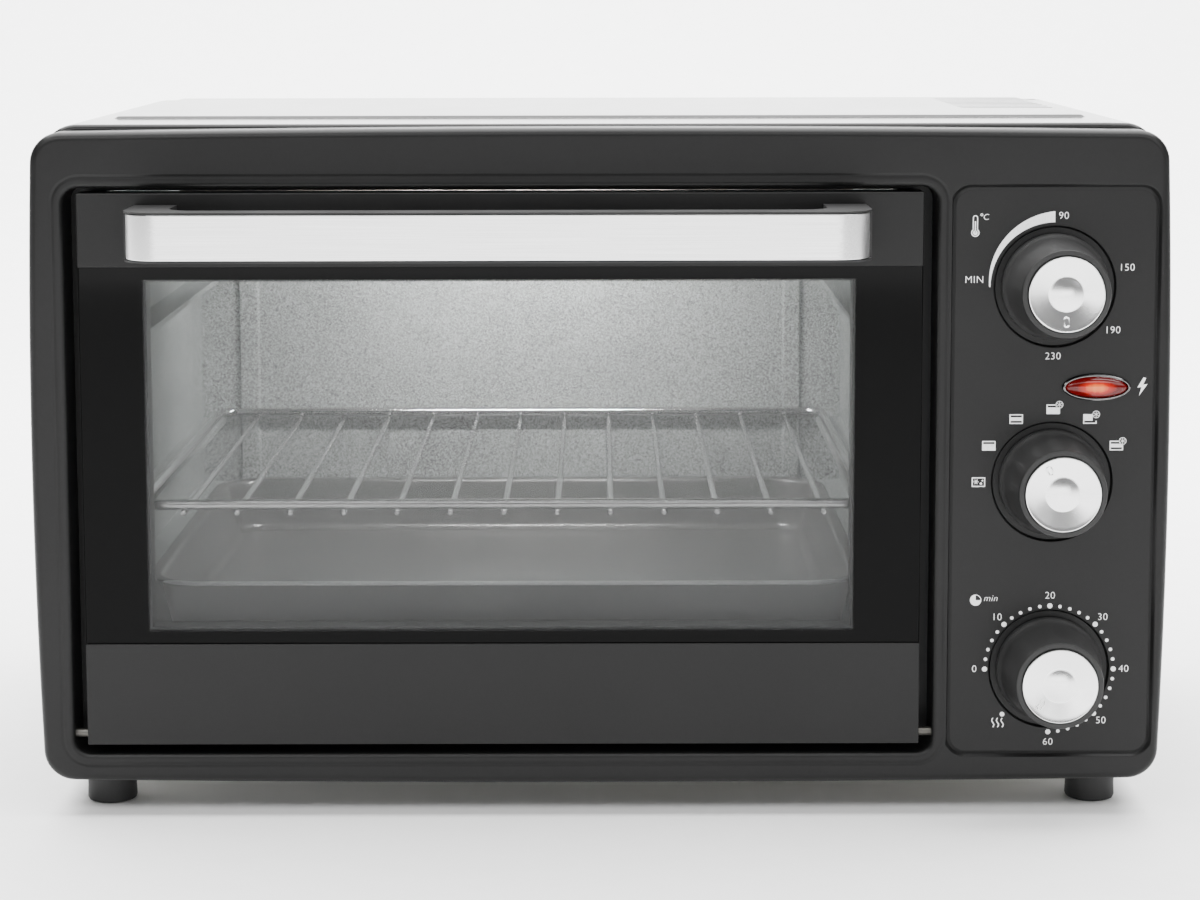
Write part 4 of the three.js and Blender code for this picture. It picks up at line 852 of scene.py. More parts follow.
phenolic = Finish("moulded_phenolic", {"Specular IOR Level": 0.2})
flow = phenolic.clouds(40, 4)
fine_grain = phenolic.clouds(3200, 2)
phenolic.surface({
    "Base Color": phenolic.ramp(flow, (0.3, grey(0.016)), (0.75, grey(0.026))),
    "Roughness": 0.34 + flow * 0.14 + fine_grain * 0.08,
})
phenolic.relief(fine_grain, 0.012 * MM, 0.45)
soften("thermostat_body", ceramic, 0.8 * MM, 3)
soften("terminal_block", ceramic, 0.8 * MM, 3)
soften("selector_switch", phenolic, 0.6 * MM, 3)
for node in ("timer_body", "timer_bell", "thermostat_shaft", "selector_shaft", "timer_shaft"):
    soften(node, zinc, 0.3 * MM)

# ---- Knobs ----
# Moulded phenolic cones that sink into their wells, each with a spun steel cap let into its face.
# The cap slopes in to a domed middle, has a small raised pointer, and turns with the knob.

rest_pointer = {"thermostat": 180, "selector": -30, "timer": 225}
KNOB_TOP = 16.8 * MM
HUB_RADIUS, HUB_LENGTH = 3.3 * MM, 16 * MM
CAP_RADIUS = 15 * MM
CAP_DISH = 1.55 * MM
CAP_ROOT = 1.2 * MM
CAP_GAP = 0.05 * MM
BUTTON_RADIUS, BUTTON_RISE = 6.8 * MM, 1.0 * MM
POINTER_REACH = 10.9 * MM
PILL_HALF, PILL_RADIUS, PILL_WIRE = 0.9 * MM, 0.95 * MM, 0.34 * MM

spun = Finish("spun_cap", {"Metallic": 1.0, "Anisotropic": 0.35})
ring_place = spun.add("ShaderNodeVectorMath", {"operation": "LENGTH"}, {0: spun.place}, "Value")
rings_cut = spun.add(
    "ShaderNodeTexNoise", {"noise_dimensions": "1D"}, {"W": ring_place, "Scale": 9000, "Detail": 3},
)
hairlines = spun.clouds(2, 3, spun.stretched(900, 900, 1))
spun.surface({
    "Base Color": spun.ramp(rings_cut, (0.25, grey(0.74)), (0.8, grey(0.95))),
    "Roughness": 0.14 + rings_cut * 0.1 + hairlines * 0.06,
})
spun.relief(rings_cut, 0.004 * MM, 0.5)


def on_cap(across, up, along):
    return Vector((across, up, -along))


def dished(radius):
    """How far the ring round the middle button lies behind the cap's edge at a radius."""
    return CAP_DISH * (CAP_RADIUS - radius) / (CAP_RADIUS - BUTTON_RADIUS)


cap_face = [
    (BUTTON_RADIUS * t, dished(BUTTON_RADIUS) - BUTTON_RISE * (1 - t ** 2)) for t in spaced(0, 1, 8)
]
cap_face += [
    (radius, dished(radius)) for radius in spaced(BUTTON_RADIUS + 0.4 * MM, CAP_RADIUS - 0.8 * MM, 6)
]
for knob_name in knob_names:
    low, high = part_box(f"{knob_name}_knob")
    cap_low, cap_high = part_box(f"{knob_name}_knob_cap")
    middle = knob_centres[knob_name]
    base = (high.x - low.x) / 2
    front, back = low.y, high.y

    def on_knob(across, up, along):
        return Vector((middle.x + across, along, middle.z + up))

    waist_radius, neck_radius = base - 1.5 * MM, KNOB_TOP + 0.9 * MM
    waist_back, waist_front = back - 5.6 * MM, front + 2 * MM
    waist = [
        (waist_radius + (neck_radius - waist_radius) * t ** 0.8, waist_back + (waist_front - waist_back) * t)
        for t in spaced(0, 1, 8)
    ]
    seat = cap_high.y + CAP_ROOT + CAP_GAP
    knob = Form()
    knob.turn(
        [
            (0, back - HUB_LENGTH), (HUB_RADIUS, back - HUB_LENGTH), (HUB_RADIUS, back),
            (base - 0.6 * MM, back), (base - 0.15 * MM, back - 0.2 * MM),
            (base, back - 0.7 * MM), (base, back - 2.6 * MM),
            (base - 0.2 * MM, back - 3.4 * MM), (base - 0.7 * MM, back - 4.2 * MM), *waist,
            (KNOB_TOP + 0.75 * MM, front + 1.2 * MM), (KNOB_TOP + 0.45 * MM, front + 0.55 * MM),
            (KNOB_TOP, front + 0.4 * MM), (CAP_RADIUS + 0.5 * MM, front + 0.4 * MM),
            (CAP_RADIUS + 0.3 * MM, front + 0.7 * MM), (CAP_RADIUS + 0.3 * MM, seat), (0, seat),
        ],
        on_knob, 96,
    )
    knob.piece(
        f"{knob_name}_grip", f"{knob_name}_dial", phenolic, "black_plastic", [f"{knob_name}_knob"], sharp=40,
    )

    cap_back = cap_high.y - cap_low.y + CAP_ROOT
    cap = Form()
    cap.turn(
        [
            *cap_face, (CAP_RADIUS - 0.4 * MM, 0), (CAP_RADIUS - 0.1 * MM, 0.1 * MM),
            (CAP_RADIUS, 0.4 * MM), (CAP_RADIUS, cap_back), (0, cap_back),
        ],
        on_cap, 96,
    )
    turn = math.radians(90 - rest_pointer[knob_name])
    outward = Vector((math.cos(turn), math.sin(turn), 0))
    sideways = Vector((-outward.y, outward.x, 0))
    pill = [
        outward * (POINTER_REACH + math.copysign(PILL_HALF, math.cos(a)) + PILL_RADIUS * math.cos(a))
        + sideways * PILL_RADIUS * math.sin(a)
        for a in arc(0, 345, 23)
    ]
    for point in pill:
        point.z = -dished(point.length)
    cap.sweep(pill, circle_section(PILL_WIRE, 8), closed=True)
    made = cap.piece(
        f"{knob_name}_cap_disc", f"{knob_name}_dial", spun, "brushed_steel",
        [f"{knob_name}_knob_cap"], sharp=30,
    )
    upright = Matrix.Rotation(math.radians(90), 4, "X")
    made.matrix_world = Matrix.Translation((middle.x, cap_low.y, middle.z)) @ upright
    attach(made, f"{knob_name}_dial")

# ---- Mains indicator ----
# An oval lens of clear red polycarbonate, snapped into the control field with a thin plated rim
# round it. A neon lamp glows behind it.

rim_metal = Finish("plated_rim", {"Metallic": 1.0})
rim_haze = rim_metal.clouds(800, 3)
rim_metal.surface({
    "Base Color": rim_metal.ramp(rim_haze, (0.3, grey(0.1)), (0.8, grey(0.16))),
    "Roughness": 0.12 + rim_haze * 0.12,
})
rim_low, rim_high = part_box("indicator_rim")
rim_front, rim_back = rim_low.y - face, rim_high.y - face
rim = Form()
rim_steps = (
    (0.35 * MM, rim_back), (0.35 * MM, rim_front + 0.35 * MM), (0.55 * MM, rim_front),
    (0.9 * MM, rim_front), (1.3 * MM, rim_front + 0.3 * MM), (1.6 * MM, rim_back),
)
rim_rings = [rim.ring(lens_oval(growth, depth)) for growth, depth in rim_steps]
rim.skin(*rim_rings, rim_rings[0])
rim.piece("indicator_bezel", "housing", rim_metal, "chrome_wire", ["indicator_rim"])

GLOW_REACH, GLOW_HEIGHT = 9 * MM, 3.6 * MM
LENS_DOME = 2.2 * MM
lens_glow = Finish("red_lens", {"Specular IOR Level": 0.35, "Emission Strength": 1.0})
from_middle_x = (lens_glow.axis("X") - lens_centre.x) * (1 / GLOW_REACH)
from_middle_z = (lens_glow.axis("Z") - lens_centre.z) * (1 / GLOW_HEIGHT)
spread = from_middle_x * from_middle_x + from_middle_z * from_middle_z
ripples = lens_glow.clouds(2, 2, lens_glow.stretched(300, 300, 60))
core = spread + ripples * 0.25
lens_glow.surface({
    "Base Color": lens_glow.ramp(core, (0, (0.2, 0.008, 0.004)), (1, (0.03, 0.001, 0.001))),
    "Emission Color": lens_glow.ramp(
        core, (0.1, (1.3, 0.4, 0.1)), (0.42, (0.6, 0.02, 0.005)), (0.9, (0.12, 0.0, 0.0)),
    ),
    "Roughness": 0.12 + ripples * 0.06,
})
lens = Form()
lens_body = [lens.ring(lens_oval(0, lens_high.y - face))]
half_lens = (lens_high - lens_low) / 2
for share in (1, 0.985, 0.94, 0.85, 0.7, 0.5, 0.25):
    depth = lens_low.y - face + LENS_DOME * (1 - math.sqrt(1 - share ** 2))
    across, up = half_lens.x * share, half_lens.z * share
    lens_body.append(lens.ring(oval(lens_centre.x, lens_centre.z, across, up, depth)))
lens.skin(*lens_body)
lens.fill(lens_body[0])
lens.skin(lens_body[-1], lens.ring([Vector((lens_centre.x, lens_low.y, lens_centre.z))]))
lens.piece("indicator_window", "housing", lens_glow, "red_lens", ["indicator_lens"], sharp=45)
neon = Finish("neon_glow", {"Emission Strength": 2.0})
neon_drift = neon.clouds(300, 2)
neon.surface({
    "Base Color": neon.ramp(neon_drift, (0.3, (0.9, 0.35, 0.1)), (0.8, (1.0, 0.5, 0.2))),
    "Emission Color": neon.ramp(neon_drift, (0.3, (1.0, 0.3, 0.08)), (0.8, (1.0, 0.45, 0.15))),
})
soften("neon_lamp", neon, 0.4 * MM, 3)

# ---- Control markings ----
# White silk-screen ink on the control field: the temperature scale, the selector's six symbols and
# the timer's dots and minutes. A print is a few hundredths of a millimetre thick.

INK = 0.06 * MM
LABEL = 4.1 * MM
FIELD_FACE = face + FIELD_RECESS
ink_form = Form()


def plate(points):
    """One patch of ink from its outline of (x, z) places."""
    front_ring = ink_form.ring(Vector((x, FIELD_FACE - INK, z)) for x, z in points)
    back_ring = ink_form.ring(Vector((x, FIELD_FACE + INK, z)) for x, z in points)
    ink_form.skin(front_ring, back_ring)
    ink_form.fill(front_ring)
    ink_form.fill(back_ring)


def dot(x, z, radius, sides=20):
    plate([(x + across, z + up) for across, up in circle_section(radius, sides)])


def bar(x0, x1, z0, z1):
    plate([(x0, z0), (x1, z0), (x1, z1), (x0, z1)])


def stroke(points, width):
    """A line of ink of one width along a few places."""
    left, right = [], []
    for i, (x, z) in enumerate(points):
        ax, az = points[max(i - 1, 0)]
        bx, bz = points[min(i + 1, len(points) - 1)]
        length = math.hypot(bx - ax, bz - az)
        dx, dz = -(bz - az) / length * width / 2, (bx - ax) / length * width / 2
        left.append((x + dx, z + dz))
        right.append((x - dx, z - dz))
    plate(left + right[::-1])


def hoop(x, z, radius, width, start=0, end=360, steps=20):
    stroke([(x + radius * math.cos(a), z + radius * math.sin(a)) for a in arc(start, end, steps)], width)


def letters(words, x, z, height, lean=0.0):
    """Words as ink, centred on a place."""
    curve = bpy.data.curves.new("words", "FONT")
    curve.body = words
    curve.size = height
    curve.align_x = "CENTER"
    curve.align_y = "CENTER"
    curve.shear = lean
    curve.extrude = INK
    curve.offset = -0.012 * height
    curve.space_character = 1.08
    holder = bpy.data.objects.new("words", curve)
    bpy.context.scene.collection.objects.link(holder)
    bpy.context.view_layer.update()
    mesh = bpy.data.meshes.new_from_object(holder.evaluated_get(bpy.context.evaluated_depsgraph_get()))
    mesh.transform(Matrix.Translation((x, FIELD_FACE, z)) @ Matrix.Rotation(math.radians(90), 4, "X"))
    ink_form.mesh.from_mesh(mesh)
    bpy.data.objects.remove(holder)
    bpy.data.meshes.remove(mesh)


def around(centre, clock, radius):
    """A place at an angle clockwise from twelve o'clock, in degrees."""
    a = math.radians(90 - clock)
    return centre.x + radius * math.cos(a), centre.z + radius * math.sin(a)


# Temperature scale: a band that widens as the heat rises, the marks, and a small thermometer.
thermostat = knob_centres["thermostat"]
BAND_INSIDE, BAND_NARROW, BAND_WIDE = 26 * MM, 26.5 * MM, 30.4 * MM
BAND_START, BAND_END = -90, -1
clocks = spaced(BAND_START, BAND_END, 24)
reaches = spaced(BAND_NARROW, BAND_WIDE, 24)
plate(
    [around(thermostat, clock, reach) for clock, reach in zip(clocks, reaches)]
    + [around(thermostat, clock, BAND_INSIDE) for clock in clocks[::-1]]
)
heat_labels = (("MIN", -85, 32.6), ("90", 6, 28.7), ("150", 75, 29.6), ("190", 127, 29.2), ("230", 181, 28.1))
for words, clock, reach in heat_labels:
    letters(words, *around(thermostat, clock, reach * MM), LABEL)
bulb_x, bulb_z = around(thermostat, -56, 39 * MM)
dot(bulb_x, bulb_z, 0.95 * MM)
hoop(bulb_x, bulb_z, 1.45 * MM, 0.4 * MM, -240, 60)
stroke([(bulb_x, bulb_z), (bulb_x, bulb_z + 4.6 * MM)], 0.5 * MM)
for offset in (-0.85 * MM, 0.85 * MM):
    stroke([(bulb_x + offset, bulb_z + 1.1 * MM), (bulb_x + offset, bulb_z + 6 * MM)], 0.35 * MM)
hoop(bulb_x, bulb_z + 6 * MM, 0.85 * MM, 0.35 * MM, 0, 180, 10)
hoop(bulb_x + 2.5 * MM, bulb_z + 7.2 * MM, 0.42 * MM, 0.25 * MM)
letters("C", bulb_x + 4.2 * MM, bulb_z + 6.2 * MM, 3.4 * MM, 0.12)

# Lightning flash beside the lamp.
flash = ((0.5, 3.6), (-1.9, -0.5), (-0.25, -0.3), (-1.2, -3.8), (2.1, 0.9), (0.35, 0.65), (1.5, 3.3))
flash_x, flash_z = lens_high.x + 6.3 * MM, lens_centre.z + 0.3 * MM
plate([(flash_x + x * MM, flash_z + z * MM) for x, z in flash])


def star(x, z, reach, first, width):
    """Three crossed lines, sixty degrees apart."""
    for turn in (first, first + 60, first + 120):
        dx, dz = math.cos(math.radians(turn)) * reach, math.sin(math.radians(turn)) * reach
        stroke([(x - dx, z - dz), (x + dx, z + dz)], width)


# Selector symbols: an oven box, with a bar of heat above or below and a fan where it runs.
BOX_WIDTH, BOX_HEIGHT = 5.4 * MM, 3.9 * MM
LINE, LINE_GAP = 0.42 * MM, 0.8 * MM
FAN_RADIUS = 1.4 * MM
BOX_CUT, BAR_CUT = 1.6 * MM, 1.8 * MM
SYMBOL_RING = 29.7 * MM
selector = knob_centres["selector"]
symbols = (
    (-90, False, False, False), (-60, True, False, False), (-30, True, True, False),
    (0, True, False, True), (30, False, True, True), (60, True, True, True),
)
for clock, heat_above, heat_below, fan_on in symbols:
    x, z = around(selector, clock, SYMBOL_RING)
    left, right, low, high = x - BOX_WIDTH / 2, x + BOX_WIDTH / 2, z - BOX_HEIGHT / 2, z + BOX_HEIGHT / 2
    if clock == -90:
        # Defrost: a frame with a snowflake and two drops in it.
        bar(left, right, high - LINE, high)
        bar(left, right, low, low + LINE)
        bar(left, left + LINE, low + LINE, high - LINE)
        bar(right - LINE, right, low + LINE, high - LINE)
        star(x - 1 * MM, z + 0.1 * MM, 1.05 * MM, 0, 0.28 * MM)
        dot(x + 1 * MM, z - 0.6 * MM, 0.5 * MM)
        dot(x + 1.6 * MM, z + 0.6 * MM, 0.35 * MM)
        continue
    box_low = low + (LINE + LINE_GAP if heat_below else 0)
    box_high = high - (LINE + LINE_GAP if heat_above else 0)
    bar(left, right - (BOX_CUT if fan_on and not heat_above else 0), box_low, box_high)
    if heat_above:
        bar(left, right - (BAR_CUT if fan_on else 0), high - LINE, high)
        bar(left, left + LINE, box_high, high - LINE)
        if not fan_on:
            bar(right - LINE, right, box_high, high - LINE)
    if heat_below:
        bar(left, right, low, low + LINE)
        bar(left, left + LINE, low + LINE, box_low)
        bar(right - LINE, right, low + LINE, box_low)
    if fan_on:
        fan_x, fan_z = right - 0.2 * MM, high - 0.1 * MM
        hoop(fan_x, fan_z, FAN_RADIUS, 0.22 * MM)
        star(fan_x, fan_z, FAN_RADIUS - 0.2 * MM, 30, 0.2 * MM)

# Timer scale: a large dot every ten minutes with four small ones between, and three heat waves.
timer = knob_centres["timer"]
DOT_RING, NUMBER_RING = 26.2 * MM, 30.4 * MM
MINUTES_A_DOT, DOTS_A_NUMBER, DOTS = 2, 5, 30
SMALL_DOT, LARGE_DOT = 0.72 * MM, 1.05 * MM
WAVE_HEIGHT, WAVE_SWING, WAVE_PITCH = 3.8 * MM, 0.45 * MM, 1.9 * MM
CLOCK_RADIUS = 2.3 * MM
for i in range(DOTS + 1):
    clock = -90 + i * 270 / DOTS
    dot(*around(timer, clock, DOT_RING), SMALL_DOT if i % DOTS_A_NUMBER else LARGE_DOT)
    if i % DOTS_A_NUMBER == 0:
        letters(str(i * MINUTES_A_DOT), *around(timer, clock, NUMBER_RING), LABEL)
dot(*around(timer, 225, 26.6 * MM), 0.95 * MM)
wave_x, wave_z = timer.x - 20.6 * MM, timer.z - 22.3 * MM
for offset in (-WAVE_PITCH, 0, WAVE_PITCH):
    wave = [
        (wave_x + offset + WAVE_SWING * math.sin(t * 2 * math.pi), wave_z + (t - 0.5) * WAVE_HEIGHT)
        for t in spaced(0, 1, 12)
    ]
    stroke(wave, LINE)
# A small clock, three quarters filled.
clock_x, clock_z = timer.x - 30.2 * MM, timer.z + 28.6 * MM
filled = [
    (clock_x + CLOCK_RADIUS * math.cos(a), clock_z + CLOCK_RADIUS * math.sin(a)) for a in arc(90, 360, 24)
]
plate([(clock_x, clock_z)] + filled)
hoop(clock_x, clock_z, CLOCK_RADIUS - 0.15 * MM, 0.3 * MM, 0, 90, 8)
letters("min", clock_x + 6 * MM, clock_z + 0.7 * MM, 3.7 * MM, 0.25)
ink = Finish("white_ink")
ink_wear = ink.clouds(1200, 3)
ink.surface({
    "Base Color": ink.ramp(ink_wear, (0.25, grey(0.72)), (0.6, grey(0.86))),
    "Roughness": 0.4 + ink_wear * 0.2,
})
ink_form.piece("control_markings", "housing", ink)

# ---- Cord gland ----
# Bush of black plastic that lines the cord's hole in the rear panel. It is moulded in one piece
# and pressed in from behind, so that its flange covers the hole's edge.

GLAND_BORE, GLAND_COLLAR = 3.6 * MM, 6.5 * MM


def on_gland(across, up, along):
    return Vector((gland_centre.x + across, along, gland_centre.z + up))


gland_radius = (gland_high.x - gland_low.x) / 2
sheet_back = face + sheet_outside + 0.3 * MM
bush = Form()
bush_profile = [
    (GLAND_BORE, gland_low.y), (GLAND_BORE, gland_high.y - 0.6 * MM), (GLAND_BORE + 0.6 * MM, gland_high.y),
    (gland_radius - 2.2 * MM, gland_high.y), (gland_radius - 0.8 * MM, gland_high.y - 1 * MM),
    (gland_radius, sheet_back + 1 * MM), (gland_radius, sheet_back), (GLAND_COLLAR, sheet_back),
    (GLAND_COLLAR, gland_low.y), (GLAND_BORE, gland_low.y),
]
bush.turn(bush_profile, on_gland, 48)
bush.piece("gland_bush", "housing", phenolic, "black_plastic", ["cord_gland"])

# ---- Door liner and panes ----
# The door is two rails that hold a tempered front pane, with a pressed steel liner behind it and a
# clear inner pane. The front pane is printed black round its window.

# Painted shade: the liner takes a much darker copy of the aluminised finish, for the grey band round the
# window.
liner_painted_shade = aluminised_sheet("liner_sheet", 0.1)
soften("door_inner_liner", liner_painted_shade, 0.25 * MM)
INNER_LAP = 7 * MM
pane_low, pane_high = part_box("door_inner_glass")
window_low = pane_low + Vector((INNER_LAP, 0, INNER_LAP))
window_high = pane_high - Vector((INNER_LAP, 0, INNER_LAP))

front_glass = Finish("printed_glass", {"IOR": 1.5, "Specular IOR Level": 0.05})
PRINT_EDGE = 0.12 * MM


def within(place, low, high):
    """1 between two places and 0 outside them, over the print's soft edge."""
    return place.rise(low - PRINT_EDGE, low) * (1 - place.rise(high, high + PRINT_EDGE))


clear = within(front_glass.axis("X"), window_low.x, window_high.x)
clear = clear * within(front_glass.axis("Z"), window_low.z, window_high.z)
film = front_glass.clouds(18, 4)
front_glass.surface({
    "Base Color": front_glass.blend(clear, grey(0.0015), grey(0.05)),
    "Alpha": 1 - clear * (0.7 - film * 0.05),
    "Roughness": 0.03 + film * 0.05,
})
soften("door_outer_glass", front_glass, 0.5 * MM, 3)

clear_glass = Finish("clear_glass", {"IOR": 1.5, "Base Color": (0.8, 0.84, 0.83)})
breath = clear_glass.clouds(25, 4)
clear_glass.surface({"Alpha": 0.06 + breath * 0.05, "Roughness": 0.03 + breath * 0.05})
soften("door_inner_glass", clear_glass, 0.5 * MM, 3)

# ---- Door rails ----
# Two folded steel rails, painted like the bezel, that run across the pane's upper and lower edges.
# The upper one carries the handle and the lower one turns on the hinge pins.

for node in ("door_lower_rail", "door_upper_rail"):
    soften(node, bezel_paint, 0.9 * MM, 4)

# ---- Handle ----
# A strip of brushed stainless steel wrapped round the front and ends of a moulded core. The core
# is one piece with its two posts, which bolt to the upper rail from inside.

bar_low, bar_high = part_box("handle_bar")
core_low, core_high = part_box("handle_core")
STRIP = 1.2 * MM
STRIP_BEND = 14 * MM
CORE_THICKNESS = 12 * MM
CORE_BEND = STRIP_BEND + 1 * MM
POST = 17 * MM
GRIP_FILLET = 10 * MM
GROOVE_GAP = 0.3 * MM
GROOVE = STRIP + GROOVE_GAP
handle_x = (bar_low.x + bar_high.x) / 2
half_strip = (bar_high.x - bar_low.x) / 2


def swing(x, y, radius, start, end, steps, height=0):
    """Points round a level bend about a centre, from one angle to another."""
    angles = arc(start, end, steps)
    return [Vector((x + radius * math.cos(a), y + radius * math.sin(a), height)) for a in angles]


def handle_front(half, front, corner, back, height):
    """The handle's plan from its left end round the front to its right end."""
    left, right = handle_x - half, handle_x + half
    return [
        Vector((left, back, height)), *swing(left + corner, front + corner, corner, 180, 270, 10, height),
        *swing(right - corner, front + corner, corner, 270, 360, 10, height), Vector((right, back, height)),
    ]


core = Form()
half_core = (core_high.x - core_low.x) / 2
post_inside = half_core - POST
fillet_x, fillet_y = post_inside - GRIP_FILLET, bar_low.y + CORE_THICKNESS + GRIP_FILLET
strip_end = bar_high.y + GROOVE_GAP


def core_plan(height, grooved):
    """The core's outline at a height. A groove lets the strip into its front and ends."""
    half = half_strip - GROOVE if grooved else half_core
    front = core_low.y + (GROOVE if grooved else 0)
    corner = CORE_BEND - (GROOVE if grooved else HAIR)
    left, right = (
        [Vector((handle_x + sign * half_core, y, height)) for y in (core_high.y, strip_end + HAIR)]
        for sign in (-1, 1)
    )
    return [
        *left, *handle_front(half, front, corner, strip_end, height), *right[::-1],
        Vector((handle_x + post_inside, core_high.y, height)),
        *swing(handle_x + fillet_x, fillet_y, GRIP_FILLET, 0, -90, 8, height),
        *swing(handle_x - fillet_x, fillet_y, GRIP_FILLET, 270, 180, 8, height),
        Vector((handle_x - post_inside, core_high.y, height)),
    ]


groove_low, groove_high = bar_low.z - GROOVE_GAP, bar_high.z + GROOVE_GAP
core_levels = (
    (core_low.z, False), (groove_low, False), (groove_low, True),
    (groove_high, True), (groove_high, False), (core_high.z, False),
)
core_rings = [core.ring(core_plan(height, grooved)) for height, grooved in core_levels]
core.skin(*core_rings)
core.fill(core_rings[0])
core.fill(core_rings[-1])
core.piece("handle_grip", "door", phenolic, "black_plastic", ["handle_core"])

brushed = Finish("brushed_strip", {"Metallic": 1.0, "Anisotropic": 0.5})
long_streaks = brushed.clouds(4, 5, brushed.stretched(4, 1500, 1500))
fine_streaks = brushed.clouds(4, 4, brushed.stretched(18, 4000, 4000))
brushed.surface({
    "Base Color": brushed.ramp(long_streaks, (0.32, grey(0.66)), (0.68, grey(0.98))),
    "Roughness": 0.24 + long_streaks * 0.14,
})
brushed.relief(long_streaks * 0.5 + fine_streaks * 0.5, 0.006 * MM, 0.6)
STRIP_EDGE = 0.35 * MM
strip = Form()
edge_z = (bar_high.z - bar_low.z) / 2
side_z, corner_z = edge_z - STRIP_EDGE, edge_z - STRIP_EDGE * 0.3
strip_section = [
    (0, -side_z), (0, side_z), (-STRIP_EDGE * 0.3, corner_z), (-STRIP_EDGE, edge_z),
    (STRIP_EDGE - STRIP, edge_z), (-STRIP, side_z), (-STRIP, -side_z),
    (STRIP_EDGE - STRIP, -edge_z), (-STRIP_EDGE, -edge_z), (-STRIP_EDGE * 0.3, -corner_z),
]
strip_path = handle_front(half_strip, bar_low.y, STRIP_BEND, bar_high.y, (bar_low.z + bar_high.z) / 2)
strip.sweep(strip_path, strip_section)
strip.piece("handle_strip", "door", brushed, "brushed_steel", ["handle_bar"], sharp=40)
for hand in ("left", "right"):
    soften(f"handle_screw_{hand}", zinc, 0.3 * MM)

# ---- Hinges ----
# Two brackets folded from zinc-plated sheet and fixed low at the sides of the front frame. Each
# holds a turned steel pin, dull with heat, that the lower rail turns on.

dull_zinc = zinc_plate("dull_zinc", grey(0.1))
for hand in ("left", "right"):
    soften(f"hinge_bracket_{hand}", zinc, 0.2 * MM)
    soften(f"hinge_pin_{hand}", dull_zinc, 0.25 * MM)

# ---- Wire rack ----
# A frame of thick steel wire with thirteen thinner wires welded under its front and back, all of it
# bright-plated after welding. It slides on the middle runners.

chrome = Finish("plated_wire", {"Metallic": 1.0})
plating = chrome.clouds(500, 3)
chrome.surface({
    "Base Color": chrome.ramp(plating, (0.3, grey(0.62)), (0.8, grey(0.82))),
    "Roughness": 0.1 + plating * 0.16,
})
chrome.relief(plating, 0.015 * MM, 0.5)
RACK_BEND = 9 * MM
CROSS_WIRE = 1.3 * MM
CROSS_COUNT = 13
CROSS_PITCH = 22.05 * MM
WELD_DEPTH = 0.3 * MM


def level_loop(low, high, inset, radius, height, steps):
    """A level rounded rectangle, drawn in from a box's sides by an inset."""
    x0, x1 = low.x + inset + radius, high.x - inset - radius
    y0, y1 = low.y + inset + radius, high.y - inset - radius
    corners = ((x1, y1, 0), (x0, y1, 90), (x0, y0, 180), (x1, y0, 270))
    return [
        point for x, y, turn in corners for point in swing(x, y, radius, turn, turn + 90, steps, height)
    ]


rack_x = (rack_low.x + rack_high.x) / 2
wire_z = rack_high.z - RACK_WIRE
rack = Form()
rack_path = level_loop(rack_low, rack_high, RACK_WIRE, RACK_BEND, wire_z, 8)
rack.sweep(rack_path, circle_section(RACK_WIRE), closed=True)
cross_z = wire_z - RACK_WIRE - CROSS_WIRE + WELD_DEPTH
for i in range(CROSS_COUNT):
    x = rack_x + (i - (CROSS_COUNT - 1) / 2) * CROSS_PITCH

    def on_wire(across, up, along):
        return Vector((x + across, along, cross_z + up))

    rack.turn(
        [
            (0, rack_low.y), (CROSS_WIRE * 0.6, rack_low.y), (CROSS_WIRE, rack_low.y + 0.5 * MM),
            (CROSS_WIRE, rack_high.y - 0.5 * MM), (CROSS_WIRE * 0.6, rack_high.y), (0, rack_high.y),
        ],
        on_wire, 14,
    )
rack.piece("rack_wires", "rack", chrome, "chrome_wire", ["wire_rack"])

# ---- Baking tray ----
# Drawn steel tray in dark enamel: round corners, sloping walls, a well rounded floor edge and a
# flat rim that hangs on the runners.

TRAY_RIM = 5 * MM
TRAY_CORNER = 25 * MM
TRAY_DRAFT = 4 * MM
TRAY_WALL = 1.2 * MM
FLOOR_ROUND = 5 * MM
rim_top = tray_high.z
wall_foot = TRAY_RIM + TRAY_WALL + TRAY_DRAFT


def floor_bend(radius, angles):
    """The wall's foot turning into the floor, as pairs of inset and height."""
    inset, height = wall_foot + FLOOR_ROUND, tray_low.z + TRAY_WALL + FLOOR_ROUND
    return [(inset - radius * math.cos(a), height - radius * math.sin(a)) for a in angles]


def tray_rings(form, steps):
    """Outlines of the tray, each at an inset from its edge and a height."""
    return [
        form.ring(level_loop(tray_low, tray_high, inset, TRAY_CORNER - inset, height, 10))
        for inset, height in steps
    ]


tray = Form()
upper = [
    (0.4 * MM, rim_top - 0.2 * MM), (1.0 * MM, rim_top), (TRAY_RIM - 1.0 * MM, rim_top),
    (TRAY_RIM + 0.1 * MM, rim_top - 0.3 * MM), (TRAY_RIM + 0.9 * MM, rim_top - 1.1 * MM),
    (TRAY_RIM + TRAY_WALL + 0.2 * MM, rim_top - 2.6 * MM), *floor_bend(FLOOR_ROUND, arc(0, 90, 6)),
]
lower = [
    *floor_bend(FLOOR_ROUND + TRAY_WALL, arc(90, 0, 6)), (TRAY_RIM, rim_top - 1.8 * MM),
    (TRAY_RIM - 0.8 * MM, rim_top - TRAY_WALL), (0.6 * MM, rim_top - TRAY_WALL), (0, rim_top - 0.7 * MM),
]
tray_upper, tray_under = tray_rings(tray, upper), tray_rings(tray, lower)
tray.skin(*tray_upper)
tray.fill(tray_upper[-1])
tray.fill(tray_under[0])
tray.skin(*tray_under, tray_upper[0])
enamel = Finish("tray_enamel", {"Coat Weight": 0.35, "Coat Roughness": 0.07})
specks = enamel.clouds(1400, 3)
bake = enamel.clouds(10, 3)
